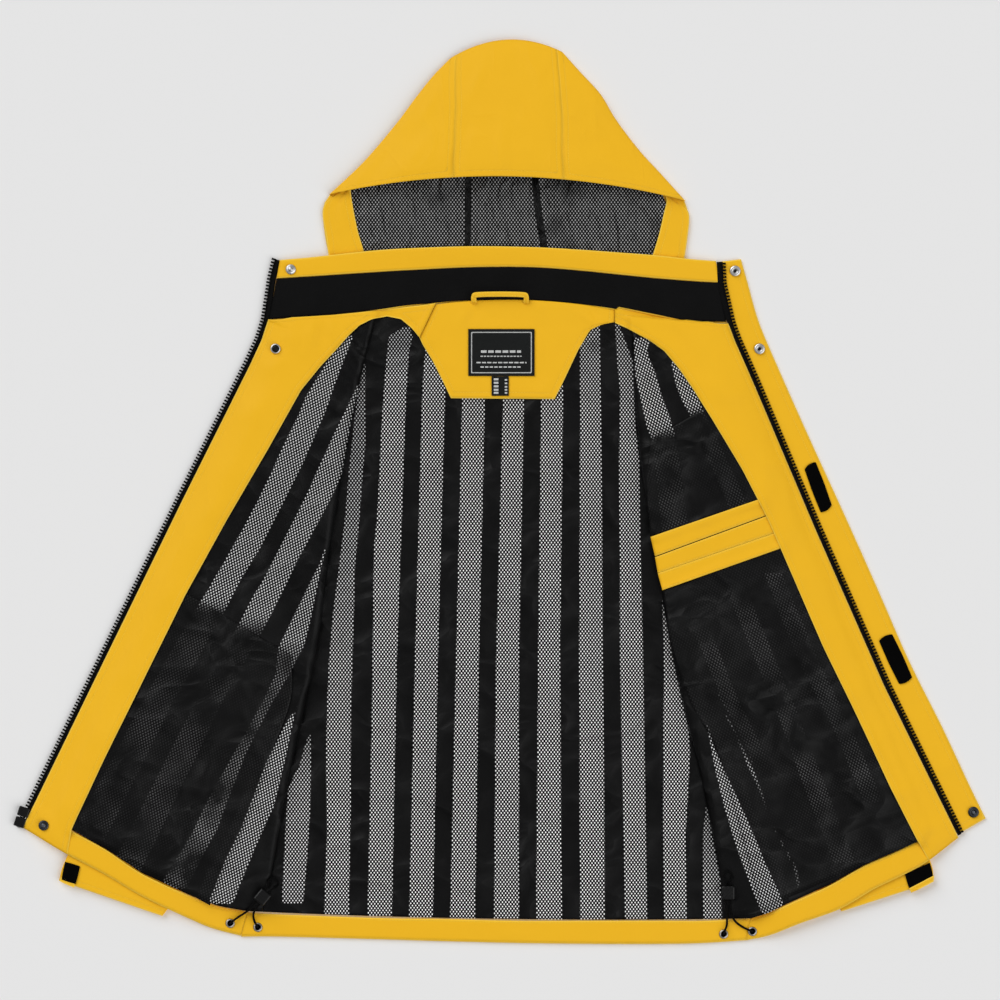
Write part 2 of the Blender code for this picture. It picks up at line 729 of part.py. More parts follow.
def make_sleeves():
    for side, rows in (("left", SLEEVE_LEFT), ("right", SLEEVE_RIGHT)):
        make_sleeve(side, rows)
        for name, corners, finish in ((f"cuff_patch_{side}", CUFF_PATCH[side], "black trim"),
                                      (f"cuff_tab_{side}", CUFF_TAB[side], "yellow shell")):
            plan = corner_plan(corners, 3, 4)
            sheet(name, laid_on(plan, [f"sleeve_{side}"], gap=0.5, reach=4.0, floor=2.0), LINING, finish)


def corner_plan(corners, rows, columns):
    """Plan points of a four-cornered piece: lower left, lower right, upper right, upper left."""
    a, b, c, d = (np.array(corner, float) for corner in corners)
    plan = np.zeros((rows, columns, 2))
    for r, v in enumerate(np.linspace(0, 1, rows)):
        for k, u in enumerate(np.linspace(0, 1, columns)):
            plan[r, k] = (a * (1 - u) + b * u) * (1 - v) + (d * (1 - u) + c * u) * v
    return plan


# ---- facings, collar, flap, pockets -------------------------------------------------------
def make_collar():
    rows = resample(COLLAR, 23, smooth=False)
    smoothed = resample(COLLAR, 23)
    for plain, curved in zip(rows, smoothed):
        for name in ("foot_y", "turn_y", "top_y"):
            setattr(plain, name, getattr(curved, name))

    def part(name, start, end, z_lift, count, wall, finish):
        grid = []
        for row in rows:
            foot = np.array([row.foot_x, row.foot_y, row.foot_z])
            top = np.array([row.top_x, row.top_y, row.top_z])
            turn = np.array([row.turn_x, row.turn_y, 0])
            share = np.linalg.norm((turn - foot)[:2]) / np.linalg.norm((top - foot)[:2])
            line = []
            for f in np.linspace(start(share), end(share), count):
                point = foot + (top - foot) * f
                point[2] = row.foot_z + (row.top_z - row.foot_z) * smoothstep(f)
                line.append((point[0], point[1], point[2] + z_lift))
            grid.append(line)
        sheet(name, grid, wall, finish)

    part("collar_outer", lambda s: COLLAR_FOOT, lambda s: 1.0, 0.0, 5, SHELL, "yellow shell")
    part("collar_band", lambda s: BAND_FOOT, lambda s: s - COLLAR_SEAM, LINING_Z, 4, LINING, "black band")
    part("collar_top", lambda s: s + COLLAR_SEAM, lambda s: 1.0, LINING_Z, 3, LINING, "yellow shell")


def make_facings():
    strip("neck_facing", resample(NECK_FACING, 15, smooth=False), "left", "right", 9, LINING, "yellow shell",
          ["back_lining"], floor=LINING_Z)
    for side, rows in (("left", FACING_LEFT), ("right", FACING_RIGHT)):
        carriers = [f"front_shell_{side}", f"front_lining_{side}", f"hem_{side}", "back_lining"]
        if side == "left":
            carriers.append("bag_left")
        else:
            carriers += ["bag_upper", "bag_lower", "welt_1", "welt_2", "welt_3"]
        rows = snap_to_zip(resample(rows, 33, smooth=False), side, "out")
        strip(f"facing_{side}", rows, "out", "in", 5, LINING, "yellow shell", carriers,
              gap=0.7, reach=8.0, floor=LINING_Z, relax=2)


def make_pockets():
    for name, rows, side, count in (("bag_left", BAG_LEFT, "left", 9), ("bag_upper", BAG_UPPER, "right", 5),
                                    ("bag_lower", BAG_LOWER, "right", 9)):
        strip(name, resample(rows, count), "out", "in", 8, LINING, "black lining",
              [f"front_lining_{side}", f"front_shell_{side}"], reach=7.0, relax=2)
    for number in range(3):
        upper, lower = WELTS[number], WELTS[number + 1]
        corners = [(lower.left_x, lower.left_y + GAP), (lower.right_x + TUCK, lower.right_y + GAP),
                   (upper.right_x + TUCK, upper.right_y - GAP), (upper.left_x, upper.left_y - GAP)]
        plan = corner_plan(corners, 3, 9)
        carriers = ["front_lining_right", "front_shell_right", "bag_upper", "bag_lower"]
        sheet(f"welt_{number + 1}", laid_on(plan, carriers, gap=0.5, reach=7.0), LINING, "yellow shell")


def make_flap_and_zip():
    rows = snap_to_zip(resample(STORM_FLAP, 23), "right", "in")
    plan = ruled_plan(rows, "in", "out", np.linspace(0.015, 1, 4))
    sheet("storm_flap", np.dstack([plan, np.zeros(plan.shape[:2])]), FLAP_WALL, "yellow shell")
    for name, corners in (("flap_patch_upper", PATCH_UPPER), ("flap_patch_lower", PATCH_LOWER)):
        sheet(name, laid_on(corner_plan(corners, 2, 2), ["storm_flap"], reach=1.0), LINING, "black trim")
    for side, line, turn, level in (("left", ZIP_LINE_LEFT, 1.0, 0.6),
                                    ("right", ZIP_LINE_RIGHT, -1.0, FLAP_WALL + GAP)):
        heights = np.linspace(TAPE_START[side], line[-1].y, 23)
        path = np.array([(zip_x(side, y), y) for y in heights])
        along = np.gradient(path, axis=0)
        along /= np.linalg.norm(along, axis=1)[:, None]
        away = np.stack([-along[:, 1], along[:, 0]], axis=1) * turn
        plan = np.stack([path + away * 0.5, path + away * TAPE_WIDTH], axis=1)
        sheet(f"zip_tape_{side}", np.dstack([plan, np.full(plan.shape[:2], level)]), TAPE_WALL, "black trim")


def make_label_and_loop():
    x0, x1, y0, y1 = LABEL
    label = corner_plan([(x0, y0), (x1, y0), (x1, y1), (x0, y1)], 3, 3)
    sheet("label", laid_on(label, ["neck_facing"], reach=6.0), 0.8, "black band")
    x0, x1, y0, y1 = SIZE_TAB
    tab = corner_plan([(x0, y0), (x1, y0), (x1, y1 - GAP), (x0, y1 - GAP)], 3, 2)
    sheet("size_tab", laid_on(tab, ["neck_facing"], reach=6.0), 0.8, "black band")
    hanger = LOOP
    base = height_under(0, hanger.foot_y, ["neck_facing", "collar_band"], 6.0) + GAP + hanger.half_wall
    path = []
    for x, y, z in ((-hanger.half, hanger.foot_y - 7, base + 0.2),
                    (-hanger.half, hanger.foot_y, base + 0.8),
                    (-hanger.half, hanger.bar_y - 2, base + 3.2),
                    (-hanger.half + 4, hanger.bar_y, base + 3.8),
                    (0, hanger.bar_y + 0.6, base + 4.2)):
        path.append((x, y, z))
    path += [(-x, y, z) for x, y, z in path[-2::-1]]
    flat_tube("hanger_loop", path, hanger.half_wide, hanger.half_wall, "yellow shell", 3)


def flat_tube(name, path, half_width, half_height, finish, steps):
    """A stitched strip along a path, as a flat oval section, its ends closed."""
    parameters = np.linspace(0, len(path) - 1, (len(path) - 1) * steps + 1)
    curve = np.stack([smooth_samples([p[k] for p in path], parameters) for k in range(3)], axis=1)
    work = bmesh.new()
    rings = []
    for i, point in enumerate(curve):
        ahead = curve[min(i + 1, len(curve) - 1)] - curve[max(i - 1, 0)]
        side = np.array([-ahead[1], ahead[0], 0.0])
        side /= np.linalg.norm(side)
        up = np.cross(ahead, side)
        up /= np.linalg.norm(up)
        up *= 1 if up[2] > 0 else -1
        ring = []
        for turn in range(8):
            angle = math.pi * (turn + 0.5) / 4
            ring.append(work.verts.new(Vector(point + side * half_width * math.cos(angle)
                                              + up * half_height * math.sin(angle)) * MM))
        rings.append(ring)
    for ring, after in zip(rings, rings[1:]):
        for k in range(8):
            work.faces.new((ring[k], ring[(k + 1) % 8], after[(k + 1) % 8], after[k]))
    work.faces.new(rings[0][::-1])
    work.faces.new(rings[-1])
    bmesh.ops.recalc_face_normals(work, faces=work.faces)
    mesh = bpy.data.meshes.new(name)
    work.to_mesh(mesh)
    work.free()
    return new_object(name, mesh, finish)


# ---- hood ----------------------------------------------------------------------------------
def hood_section(row):
    """The hood's top cloth across one section: foot, rolled edge, arch, rolled edge, foot."""
    width = math.hypot(row.right_x - row.left_x, row.right_y - row.left_y)
    edge = min(HOOD_EDGE_RISE, row.height * 0.45)
    fractions = np.concatenate((np.linspace(0, row.seam_left, 5),
                                np.linspace(row.seam_left, row.seam_right, 7),
                                np.linspace(row.seam_right, 1, 5)))
    section = []
    for k, f in enumerate(fractions):
        s = SHELL + edge + f * (width - 2 * SHELL - 2 * edge)
        lift = max(0.0, math.sin(math.pi * f)) ** 0.7
        nudge = {4: -GAP / 2, 5: GAP / 2, 11: -GAP / 2, 12: GAP / 2}.get(k, 0.0)   # the two seams
        section.append((s + nudge, edge + (row.height - SHELL - edge) * lift))
    rolled = [(SHELL, 0.0), (SHELL + edge * 0.05, edge * 0.35), (SHELL + edge * 0.3, edge * 0.74)]
    mirrored = [(width - s, z) for s, z in rolled[::-1]]
    return rolled + section + mirrored, width


def inset_row(row, distance):
    """The same section drawn in at both ends, so the lower cloth ends inside the upper one."""
    drawn_in = {"left_x": row.left_x + distance, "right_x": row.right_x - distance}
    return SimpleNamespace(**{**vars(row), **drawn_in})


def hood_points(rows, first, last):
    """The columns of the hood's upper cloth that make one of its three panels."""
    grid = []
    for row in rows:
        section, width = hood_section(row)
        line = []
        for s, z in section[first:last]:
            f = s / width
            x = row.left_x + (row.right_x - row.left_x) * f
            y = row.left_y + (row.right_y - row.left_y) * f - row.bow * 4 * f * (1 - f)
            line.append((x, y, z))
        grid.append(line)
    return np.array(grid)


def make_hood():
    rows = resample(HOOD_TOP, 13)
    sheet("hood_side_left", hood_points(rows, 0, 8), SHELL, "yellow shell")
    sheet("hood_centre", hood_points(rows, 8, 15), SHELL, "yellow shell")
    sheet("hood_side_right", hood_points(rows, 15, 23), SHELL, "yellow shell")
    back = resample(HOOD_BACK, 5) + [inset_row(row, HOOD_JOIN) for row in rows]
    plan = ruled_plan(back, "left", "right", np.linspace(0, 1, 9))
    sheet("hood_back", np.dstack([plan, np.zeros(plan.shape[:2])]), SHELL, "yellow shell")
    lining = resample(HOOD_LINING, 11)
    across = np.linspace(0, 1, 15)
    plan = ruled_plan(lining, "left", "right", across)
    folds = np.zeros(plan.shape[:2])
    for r in range(len(lining)):
        for c, f in enumerate(across):
            inside = smoothstep(f / 0.18) * smoothstep((1 - f) / 0.18) * smoothstep((r - 1.5) / 3)
            folds[r, c] = HOOD_FOLD_HEIGHT * inside * (1 + math.sin(f * HOOD_FOLD_TURNS + 0.5))
    sheet("hood_lining", np.dstack([plan, LINING_Z + folds]), LINING, "black lining")
    for side, table_rows in (("left", HOOD_EDGE_LEFT), ("right", HOOD_EDGE_RIGHT)):
        strip(f"hood_edge_{side}", resample(table_rows, 9), "out", "in", 4, LINING, "yellow shell",
              ["hood_back", "hood_lining"], reach=5.0, relax=0)


# ---- metal and plastic pieces --------------------------------------------------------------
def turned(name, profile, x, y, z, finish, steps=16):
    """A round piece: a profile of radius and height, turned with a Screw modifier."""
    mesh = bpy.data.meshes.new(name)
    points = [(r * MM, 0.0, h * MM) for r, h in profile]
    mesh.from_pydata(points, [(i, i + 1) for i in range(len(points) - 1)], [])
    thing = new_object(name, mesh, finish)
    thing.location = Vector((x, y, z)) * MM
    screw = thing.modifiers.new("turn", "SCREW")
    screw.steps = steps
    screw.render_steps = steps
    screw.use_merge_vertices = True
    screw.merge_threshold = 0.00001
    return thing


# radius and height of each turned section
SOCKET_PROFILE = ((0, 1.6), (2.4, 1.6), (2.8, 2.3), (4.9, 2.5), (6.0, 1.7), (6.0, 0.3), (5.4, 0), (0, 0))
STUD_PROFILE = ((0, 2.9), (1.9, 2.7), (2.3, 1.5), (4.4, 1.4), (5.6, 0.9), (5.6, 0.3), (5.0, 0), (0, 0))
EYELET_PROFILE = ((2.5, 0.5), (3.0, 1.2), (4.0, 1.4), (4.8, 1.0), (5.2, 0.3), (5.0, 0.0), (2.6, 0.0),
                  (2.5, 0.5))


def make_snaps():
    for side, points, profile in (("left", SNAPS_LEFT, STUD_PROFILE), ("right", SNAPS_RIGHT, SOCKET_PROFILE)):
        for number, (x, y, carriers) in enumerate(points, 1):
            z = height_under(x, y, carriers, 5.5) + GAP
            finish = "dark metal" if number == 3 else "silver metal"
            turned(f"snap_{side}_{number}", profile, x, y, z, finish, 14)


def make_eyelets_and_cords():
    for number, (x, y, carrier) in enumerate(EYELETS, 1):
        z = height_under(x, y, [carrier], 4.5) + GAP
        turned(f"eyelet_{number}", EYELET_PROFILE, x, y, z, "dark metal", 12)
    for side in ("left", "right"):
        make_cord(side)


def make_cord(side):
    route = CORD_ROUTE[side]
    carriers = ["hem_back", f"hem_{side}", "back_lining", f"front_lining_{side}", f"front_shell_{side}"]
    points = []
    for row in route:
        under = height_under(row.x, row.y, carriers, 3.5)
        level = LOCK_LEVEL[side] if row.seat else under + CORD_DIAMETER / 2 + row.lift
        points.append((row.x, row.y, level))
    smooth = np.linspace(0, len(points) - 1, 39)
    curve = np.stack([smooth_samples([p[k] for p in points], smooth) for k in range(3)], axis=1)
    data = bpy.data.curves.new(f"cord_{side}", "CURVE")
    data.dimensions = "3D"
    data.bevel_depth = CORD_DIAMETER / 2 * MM
    data.bevel_resolution = 2
    data.use_fill_caps = True
    spline = data.splines.new("POLY")
    spline.points.add(len(curve) - 1)
    for target, point in zip(spline.points, curve):
        target.co = (*(point * MM), 1.0)
    new_object(f"cord_{side}", data, "black trim")


def block_mesh(name, size, bevel):
    work = bmesh.new()
    bmesh.ops.create_cube(work, size=1.0)
    for vertex in work.verts:
        vertex.co = Vector((vertex.co.x * size[0], vertex.co.y * size[1], vertex.co.z * size[2])) * MM
    if bevel:
        bmesh.ops.bevel(work, geom=list(work.edges), offset=bevel * MM, segments=2, affect="EDGES",
                        profile=0.5)
    mesh = bpy.data.meshes.new(name)
    work.to_mesh(mesh)
    work.free()
    return mesh


def cutter(name, mesh, x, y, z, heading=0.0):
    thing = bpy.data.objects.new(name, mesh)
    CUTTERS.objects.link(thing)
    thing.location = Vector((x, y, z)) * MM
    thing.rotation_euler = (0, 0, heading)
    thing.hide_render = True
    thing.display_type = "WIRE"
    return thing


def cut(thing, tool):
    boolean = thing.modifiers.new("cut", "BOOLEAN")
    boolean.operation = "DIFFERENCE"
    boolean.solver = "EXACT"
    boolean.object = tool


def make_cord_locks():
    for side, (x, y, heading) in CORD_LOCKS.items():
        carriers = ["back_lining", f"front_lining_{side}", "hem_back"]
        z = height_under(x, y, carriers, 8.0) + GAP + LOCK_SIZE[2] / 2
        LOCK_LEVEL[side] = z
        block = block_mesh(f"cord_lock_{side}", LOCK_SIZE, LOCK_BEVEL)
        lock = new_object(f"cord_lock_{side}", block, "black trim")
        lock.location = Vector((x, y, z)) * MM
        lock.rotation_euler = (0, 0, math.radians(heading))
        slot = block_mesh(f"cord_slot_{side}", LOCK_SLOT, 0)
        cut(lock, cutter(f"cord_slot_{side}", slot, x, y, z, math.radians(heading)))


# ---- zip slider, box and pull ------------------------------------------------------------
def make_slider():
    heading = math.radians(SLIDER.heading)
    body = block_mesh("zip_slider", (SLIDER.width, SLIDER.length, SLIDER.thick), 1.0)
    slider = new_object("zip_slider", body, "black trim")
    slider.location = Vector((SLIDER.x, SLIDER.y, SLIDER.low + SLIDER.thick / 2)) * MM
    slider.rotation_euler = (0, 0, -heading)
    high = SLIDER.low + 0.6
    for name, sign in (("lug_outer", -1), ("lug_inner", 1)):
        along = sign * LUG.out
        lug = cutter(name, block_mesh(name, (LUG.thick, LUG.length, high - LUG.low), 0),
                     SLIDER.x + along * math.cos(heading), SLIDER.y - along * math.sin(heading),
                     (high + LUG.low) / 2, -heading)
        union = slider.modifiers.new("lug", "BOOLEAN")
        union.operation = "UNION"
        union.solver = "EXACT"
        union.object = lug
    work = bmesh.new()
    bmesh.ops.create_cone(work, cap_ends=True, segments=12, radius1=LUG.hole * MM, radius2=LUG.hole * MM,
                          depth=12 * MM)
    mesh = bpy.data.meshes.new("pin_hole")
    work.to_mesh(mesh)
    work.free()
    pin = cutter("pin_hole", mesh, SLIDER.x, SLIDER.y, SLIDER_PIVOT_Z)
    pin.rotation_euler = (math.pi / 2, 0, math.pi / 2 - heading)
    cut(slider, pin)
    body = block_mesh("zip_box", (ZIP_BOX.width, ZIP_BOX.length, ZIP_BOX.thick), 0.8)
    box = new_object("zip_box", body, "black trim")
    box.location = Vector((ZIP_BOX.x, ZIP_BOX.y, ZIP_BOX.low + ZIP_BOX.thick / 2)) * MM
    box.rotation_euler = (0, 0, -math.radians(ZIP_BOX.heading))


def make_pull():
    """A wire loop; its straight end turns in the slider's two lugs."""
    half, length = PULL.width / 2, PULL.length
    points = [(half * f, 0.0) for f in (-0.86, -0.4, 0.0, 0.4, 0.86)]
    points += [(half, -0.7), (half, -5.0), (half * 0.94, -10.0), (half * 0.8, -15.0)]
    for turn in (20, 50, 90, 130, 160):
        angle = math.radians(turn)
        points.append((half * 0.76 * math.cos(angle), -length + 3.6 - 3.0 * math.sin(angle)))
    points += [(-half * 0.8, -15.0), (-half * 0.94, -10.0), (-half, -5.0), (-half, -0.7)]
    data = bpy.data.curves.new("zip_pull", "CURVE")
    data.dimensions = "3D"
    data.bevel_depth = PULL.wire / 2 * MM
    data.bevel_resolution = 2
    spline = data.splines.new("POLY")
    spline.points.add(len(points) - 1)
    for target, (x, y) in zip(spline.points, points):
        target.co = (x * MM, y * MM, y * math.tan(math.radians(PULL.drop)) * MM, 1.0)
    spline.use_cyclic_u = True
    pull = new_object("zip_pull", data, "silver metal")
    pull.location = Vector((SLIDER.x, SLIDER.y, SLIDER_PIVOT_Z)) * MM
    pull.rotation_euler = (0, 0, -math.radians(SLIDER.heading))


clear_scene()
JACKET = make_collection("rain jacket")
CUTTERS = make_collection("cutters")
MATERIALS = {name: make_material(name, *values) for name, values in FINISHES.items()}
make_back()
make_sleeves()
make_fronts()
make_hem()
make_pockets()
make_collar()
make_facings()
make_flap_and_zip()
make_label_and_loop()
make_hood()
make_snaps()
make_cord_locks()
make_eyelets_and_cords()
make_slider()
make_pull()
bpy.context.view_layer.update()
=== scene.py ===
# %% [markdown]
# # A rain jacket, laid open with its lining side up
# The coat lies flat: yellow coated shell below, black lining with net stripes on top, the hood above
# the collar and both fronts folded over the back. The solids give the level of every layer. This
# script lays a finer sheet of cloth in each place, then adds what sewing adds: stitch rows, zip
# teeth, net, and the soft creases of a coat that has been folded.

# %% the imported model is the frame
import math
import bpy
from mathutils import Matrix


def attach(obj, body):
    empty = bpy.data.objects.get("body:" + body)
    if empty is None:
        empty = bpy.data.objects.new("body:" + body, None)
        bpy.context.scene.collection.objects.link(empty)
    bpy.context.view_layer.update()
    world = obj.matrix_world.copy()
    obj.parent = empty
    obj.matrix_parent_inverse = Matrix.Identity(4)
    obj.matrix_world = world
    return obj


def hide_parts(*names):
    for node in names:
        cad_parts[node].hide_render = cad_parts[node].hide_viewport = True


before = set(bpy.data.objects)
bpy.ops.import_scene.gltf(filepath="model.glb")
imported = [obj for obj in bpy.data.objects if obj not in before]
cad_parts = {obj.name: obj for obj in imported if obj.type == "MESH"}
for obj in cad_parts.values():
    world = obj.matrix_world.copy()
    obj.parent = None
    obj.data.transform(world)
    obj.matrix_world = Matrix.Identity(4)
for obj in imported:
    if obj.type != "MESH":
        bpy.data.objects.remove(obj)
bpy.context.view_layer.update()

from types import SimpleNamespace

import bmesh
import bpy
import numpy as np
from mathutils import Vector, noise
from mathutils.bvhtree import BVHTree

MM = 0.001

# %% [markdown]
# ## Camera, floor and light
# The picture looks straight down. A long lens high above keeps the flat coat free of perspective.
# A pale sky gives most of the light. Two very broad suns add to it, the stronger from the upper
# left, so that creases read without hard shadows; area lamps would fall off across so wide a coat.
# A third sun shines up from below and only reaches the underside.

# %% camera and light
VIEW_WIDTH = 1.1           # metres across the picture
CAMERA_HEIGHT = 5.0        # metres
SKY = 0.30                 # strength of the even light
PIXEL = 1.1                # mm of cloth to one pixel of the picture
CENTRE = (500.0, 492.0)    # pixel above the origin

scene = bpy.context.scene
scene.view_settings.view_transform = "Standard"
lens = bpy.data.cameras.new("overhead")
lens.sensor_width = 36.0
lens.lens = lens.sensor_width * CAMERA_HEIGHT / VIEW_WIDTH
lens.clip_end = 50.0
camera = bpy.data.objects.new("overhead", lens)
camera.location = (0.0, (CENTRE[1] - 500.0) * PIXEL * MM, CAMERA_HEIGHT)
scene.collection.objects.link(camera)
scene.camera = camera

world = bpy.data.worlds.new("studio")
world.use_nodes = True
world.node_tree.nodes["Background"].inputs["Color"].default_value = (1.0, 1.0, 1.0, 1.0)
world.node_tree.nodes["Background"].inputs["Strength"].default_value = SKY
scene.world = world


def soft_light(name, direction, softness, strength):
    """A broad even light: the way to it, how many degrees wide it is, and its strength."""
    lamp = bpy.data.lights.new(name, "SUN")
    lamp.angle = math.radians(softness)
    lamp.energy = strength
    thing = bpy.data.objects.new(name, lamp)
    thing.rotation_euler = Vector(direction).to_track_quat("Z", "Y").to_euler()
    scene.collection.objects.link(thing)


soft_light("key", (-0.8, 0.9, 0.9), 50.0, 1.9)
soft_light("fill", (0.9, -0.5, 1.0), 60.0, 1.42)
soft_light("under", (0.3, -0.6, -1.0), 60.0, 1.4)


def px(x, y):
    """A pixel of the picture as millimetres on the coat."""
    return (x - CENTRE[0]) * PIXEL, (CENTRE[1] - y) * PIXEL


print("picture is", VIEW_WIDTH, "m wide; its upper left corner is at", px(0, 0), "mm")


# %% [markdown]
# ## Shader pieces
# Several finishes share an effect: a fine grain, slow changes of colour, the holes of the net, the
# striped knit, stitch rows along an edge. Each could be drawn again in every material, but as a
# node group with named inputs it is built once and tuned where it is used. A group puts out only
# values; the shader itself stays in each material.

# %% node helpers
def add_node(tree, kind, **settings):
    node = tree.nodes.new(kind)
    for name, value in settings.items():
        setattr(node, name, value)
    return node


def feed(tree, socket, value):
    """Sets a socket to a number or joins it to another socket."""
    if isinstance(value, bpy.types.NodeSocket):
        tree.links.new(value, socket)
    elif value is not None:
        socket.default_value = value


def maths(tree, operation, a, b=None, c=None, clamp=False):
    node = add_node(tree, "ShaderNodeMath", operation=operation, use_clamp=clamp)
    for socket, value in zip(node.inputs, (a, b, c)):
        feed(tree, socket, value)
    return node.outputs[0]


def blend_colour(tree, mask, a, b, mode="MIX"):
    node = add_node(tree, "ShaderNodeMix", data_type="RGBA", blend_type=mode)
    feed(tree, node.inputs[0], mask)
    feed(tree, node.inputs[6], a)
    feed(tree, node.inputs[7], b)
    return node.outputs[2]


def new_group(name, inputs, outputs):
    """An empty node group; returns the tree, its input sockets by name and its output node."""
    tree = bpy.data.node_groups.new(name, "ShaderNodeTree")
    for label, kind, value in inputs:
        socket = tree.interface.new_socket(label, in_out="INPUT", socket_type="NodeSocket" + kind)
        if value is not None:
            socket.default_value = value
    for label, kind in outputs:
        tree.interface.new_socket(label, in_out="OUTPUT", socket_type="NodeSocket" + kind)
    start = add_node(tree, "NodeGroupInput")
    end = add_node(tree, "NodeGroupOutput")
    return tree, start.outputs, end.inputs


def use_group(tree, group, **values):
    node = add_node(tree, "ShaderNodeGroup", node_tree=group)
    for label, value in values.items():
        feed(tree, node.inputs[label.replace("_", " ")], value)
    return node.outputs


# %% cloth grain: the woven tooth of a coated cloth and the slow drift of its colour
GRAIN, start, end = new_group(
    "cloth grain",
    [("Pitch", "Float", 0.7), ("Tooth", "Float", 1.0), ("Drift size", "Float", 60.0)],
    [("Height", "Float"), ("Drift", "Float")])
place = add_node(GRAIN, "ShaderNodeTexCoord").outputs["Object"]
split = add_node(GRAIN, "ShaderNodeSeparateXYZ")
GRAIN.links.new(place, split.inputs[0])
turn = maths(GRAIN, "DIVIDE", 2 * math.pi / MM, start["Pitch"])
across = maths(GRAIN, "SINE", maths(GRAIN, "MULTIPLY", split.outputs[0], turn))
along = maths(GRAIN, "SINE", maths(GRAIN, "MULTIPLY", split.outputs[1], turn))
fuzz = add_node(GRAIN, "ShaderNodeTexNoise")
GRAIN.links.new(place, fuzz.inputs["Vector"])
fuzz.inputs["Scale"].default_value = 900.0
fuzz.inputs["Detail"].default_value = 2.0
slow = add_node(GRAIN, "ShaderNodeTexNoise")
GRAIN.links.new(place, slow.inputs["Vector"])
GRAIN.links.new(maths(GRAIN, "DIVIDE", 1 / MM, start["Drift size"]), slow.inputs["Scale"])
slow.inputs["Detail"].default_value = 3.0
weave = maths(GRAIN, "MULTIPLY", maths(GRAIN, "MULTIPLY", across, along), 0.4)
tooth = maths(GRAIN, "MULTIPLY", maths(GRAIN, "ADD", weave, fuzz.outputs["Fac"]), start["Tooth"])
GRAIN.links.new(tooth, end["Height"])
GRAIN.links.new(slow.outputs["Fac"], end["Drift"])

# %% soft creases: the faint hard-edged marks a folded coat keeps
CREASES, start, end = new_group(
    "soft creases",
    [("Size", "Float", 70.0), ("Stretch", "Float", 2.5)],
    [("Height", "Float")])
place = add_node(CREASES, "ShaderNodeTexCoord").outputs["Object"]
squeeze = add_node(CREASES, "ShaderNodeMapping")
CREASES.links.new(place, squeeze.inputs["Vector"])
squeeze.inputs["Rotation"].default_value = (0, 0, 0.5)
bulge = add_node(CREASES, "ShaderNodeCombineXYZ")
feed(CREASES, bulge.inputs[0], start["Stretch"])
bulge.inputs[1].default_value = 1.0
bulge.inputs[2].default_value = 1.0
CREASES.links.new(bulge.outputs[0], squeeze.inputs["Scale"])
fold = add_node(CREASES, "ShaderNodeTexNoise", noise_type="RIDGED_MULTIFRACTAL")
CREASES.links.new(squeeze.outputs[0], fold.inputs["Vector"])
CREASES.links.new(maths(CREASES, "DIVIDE", 1 / MM, start["Size"]), fold.inputs["Scale"])
fold.inputs["Detail"].default_value = 2.0
fold.inputs["Offset"].default_value = 0.9
fold.inputs["Distortion"].default_value = 0.6
CREASES.links.new(fold.outputs["Fac"], end["Height"])

# %% net: staggered holes, laid out in millimetres on the piece's own cloth map
NET, start, end = new_group(
    "net",
    [("Across", "Float", 0.0), ("Along", "Float", 0.0), ("Pitch across", "Float", 2.86),
     ("Pitch along", "Float", 3.93), ("Hole", "Float", 0.38)],
    [("Holes", "Float"), ("Height", "Float")])
waves = []
for coordinate, pitch in (("Across", "Pitch across"), ("Along", "Pitch along")):
    step = maths(NET, "DIVIDE", start[coordinate], start[pitch])
    waves.append(maths(NET, "COSINE", maths(NET, "MULTIPLY", step, 2 * math.pi)))
cells = maths(NET, "MULTIPLY", waves[0], waves[1])
open_part = maths(NET, "MULTIPLY", maths(NET, "SUBTRACT", cells, start["Hole"]), 9.0, clamp=True)
NET.links.new(open_part, end["Holes"])
NET.links.new(maths(NET, "SUBTRACT", 1.0, cells), end["Height"])

# %% stripes: the map holds how far inside a stripe of net a point lies, in millimetres
STRIPES, start, end = new_group(
    "stripes", [("Inside", "Float", 0.0)], [("Net", "Float"), ("Rib", "Float")])
sharp = maths(STRIPES, "MULTIPLY_ADD", start["Inside"], 1.6, 0.5, clamp=True)
STRIPES.links.new(sharp, end["Net"])
rib = maths(STRIPES, "SUBTRACT", 1.0, maths(STRIPES, "ABSOLUTE", start["Inside"]), clamp=True)
STRIPES.links.new(rib, end["Rib"])

# %% stitches: dashes in a row at a set distance from the piece's edge, and a painted edge highlight
STITCHES, start, end = new_group(
    "stitches",
    [("Distance", "Float", 0.0), ("Along", "Float", 0.0), ("Row", "Float", 4.0),
     ("Length", "Float", 3.2)],
    [("Thread", "Float"), ("Groove", "Float"), ("Edge highlight", "Float")])
away = maths(STITCHES, "ABSOLUTE", maths(STITCHES, "SUBTRACT", start["Distance"], start["Row"]))
beat = maths(STITCHES, "FRACT", maths(STITCHES, "DIVIDE", start["Along"], start["Length"]))
in_dash = maths(STITCHES, "LESS_THAN", beat, 0.72)
thread = maths(STITCHES, "MULTIPLY", maths(STITCHES, "LESS_THAN", away, 0.32), in_dash)
groove = maths(STITCHES, "SUBTRACT", 1.0, maths(STITCHES, "DIVIDE", away, 1.1), clamp=True)
# the mask of a painted highlight: full up to 1 mm from the edge, gone at 1.5 mm
edge = maths(STITCHES, "MULTIPLY", maths(STITCHES, "SUBTRACT", 1.5, start["Distance"]), 2.0, clamp=True)
STITCHES.links.new(thread, end["Thread"])
STITCHES.links.new(groove, end["Groove"])
STITCHES.links.new(edge, end["Edge highlight"])
print("node groups:", len(bpy.data.node_groups))
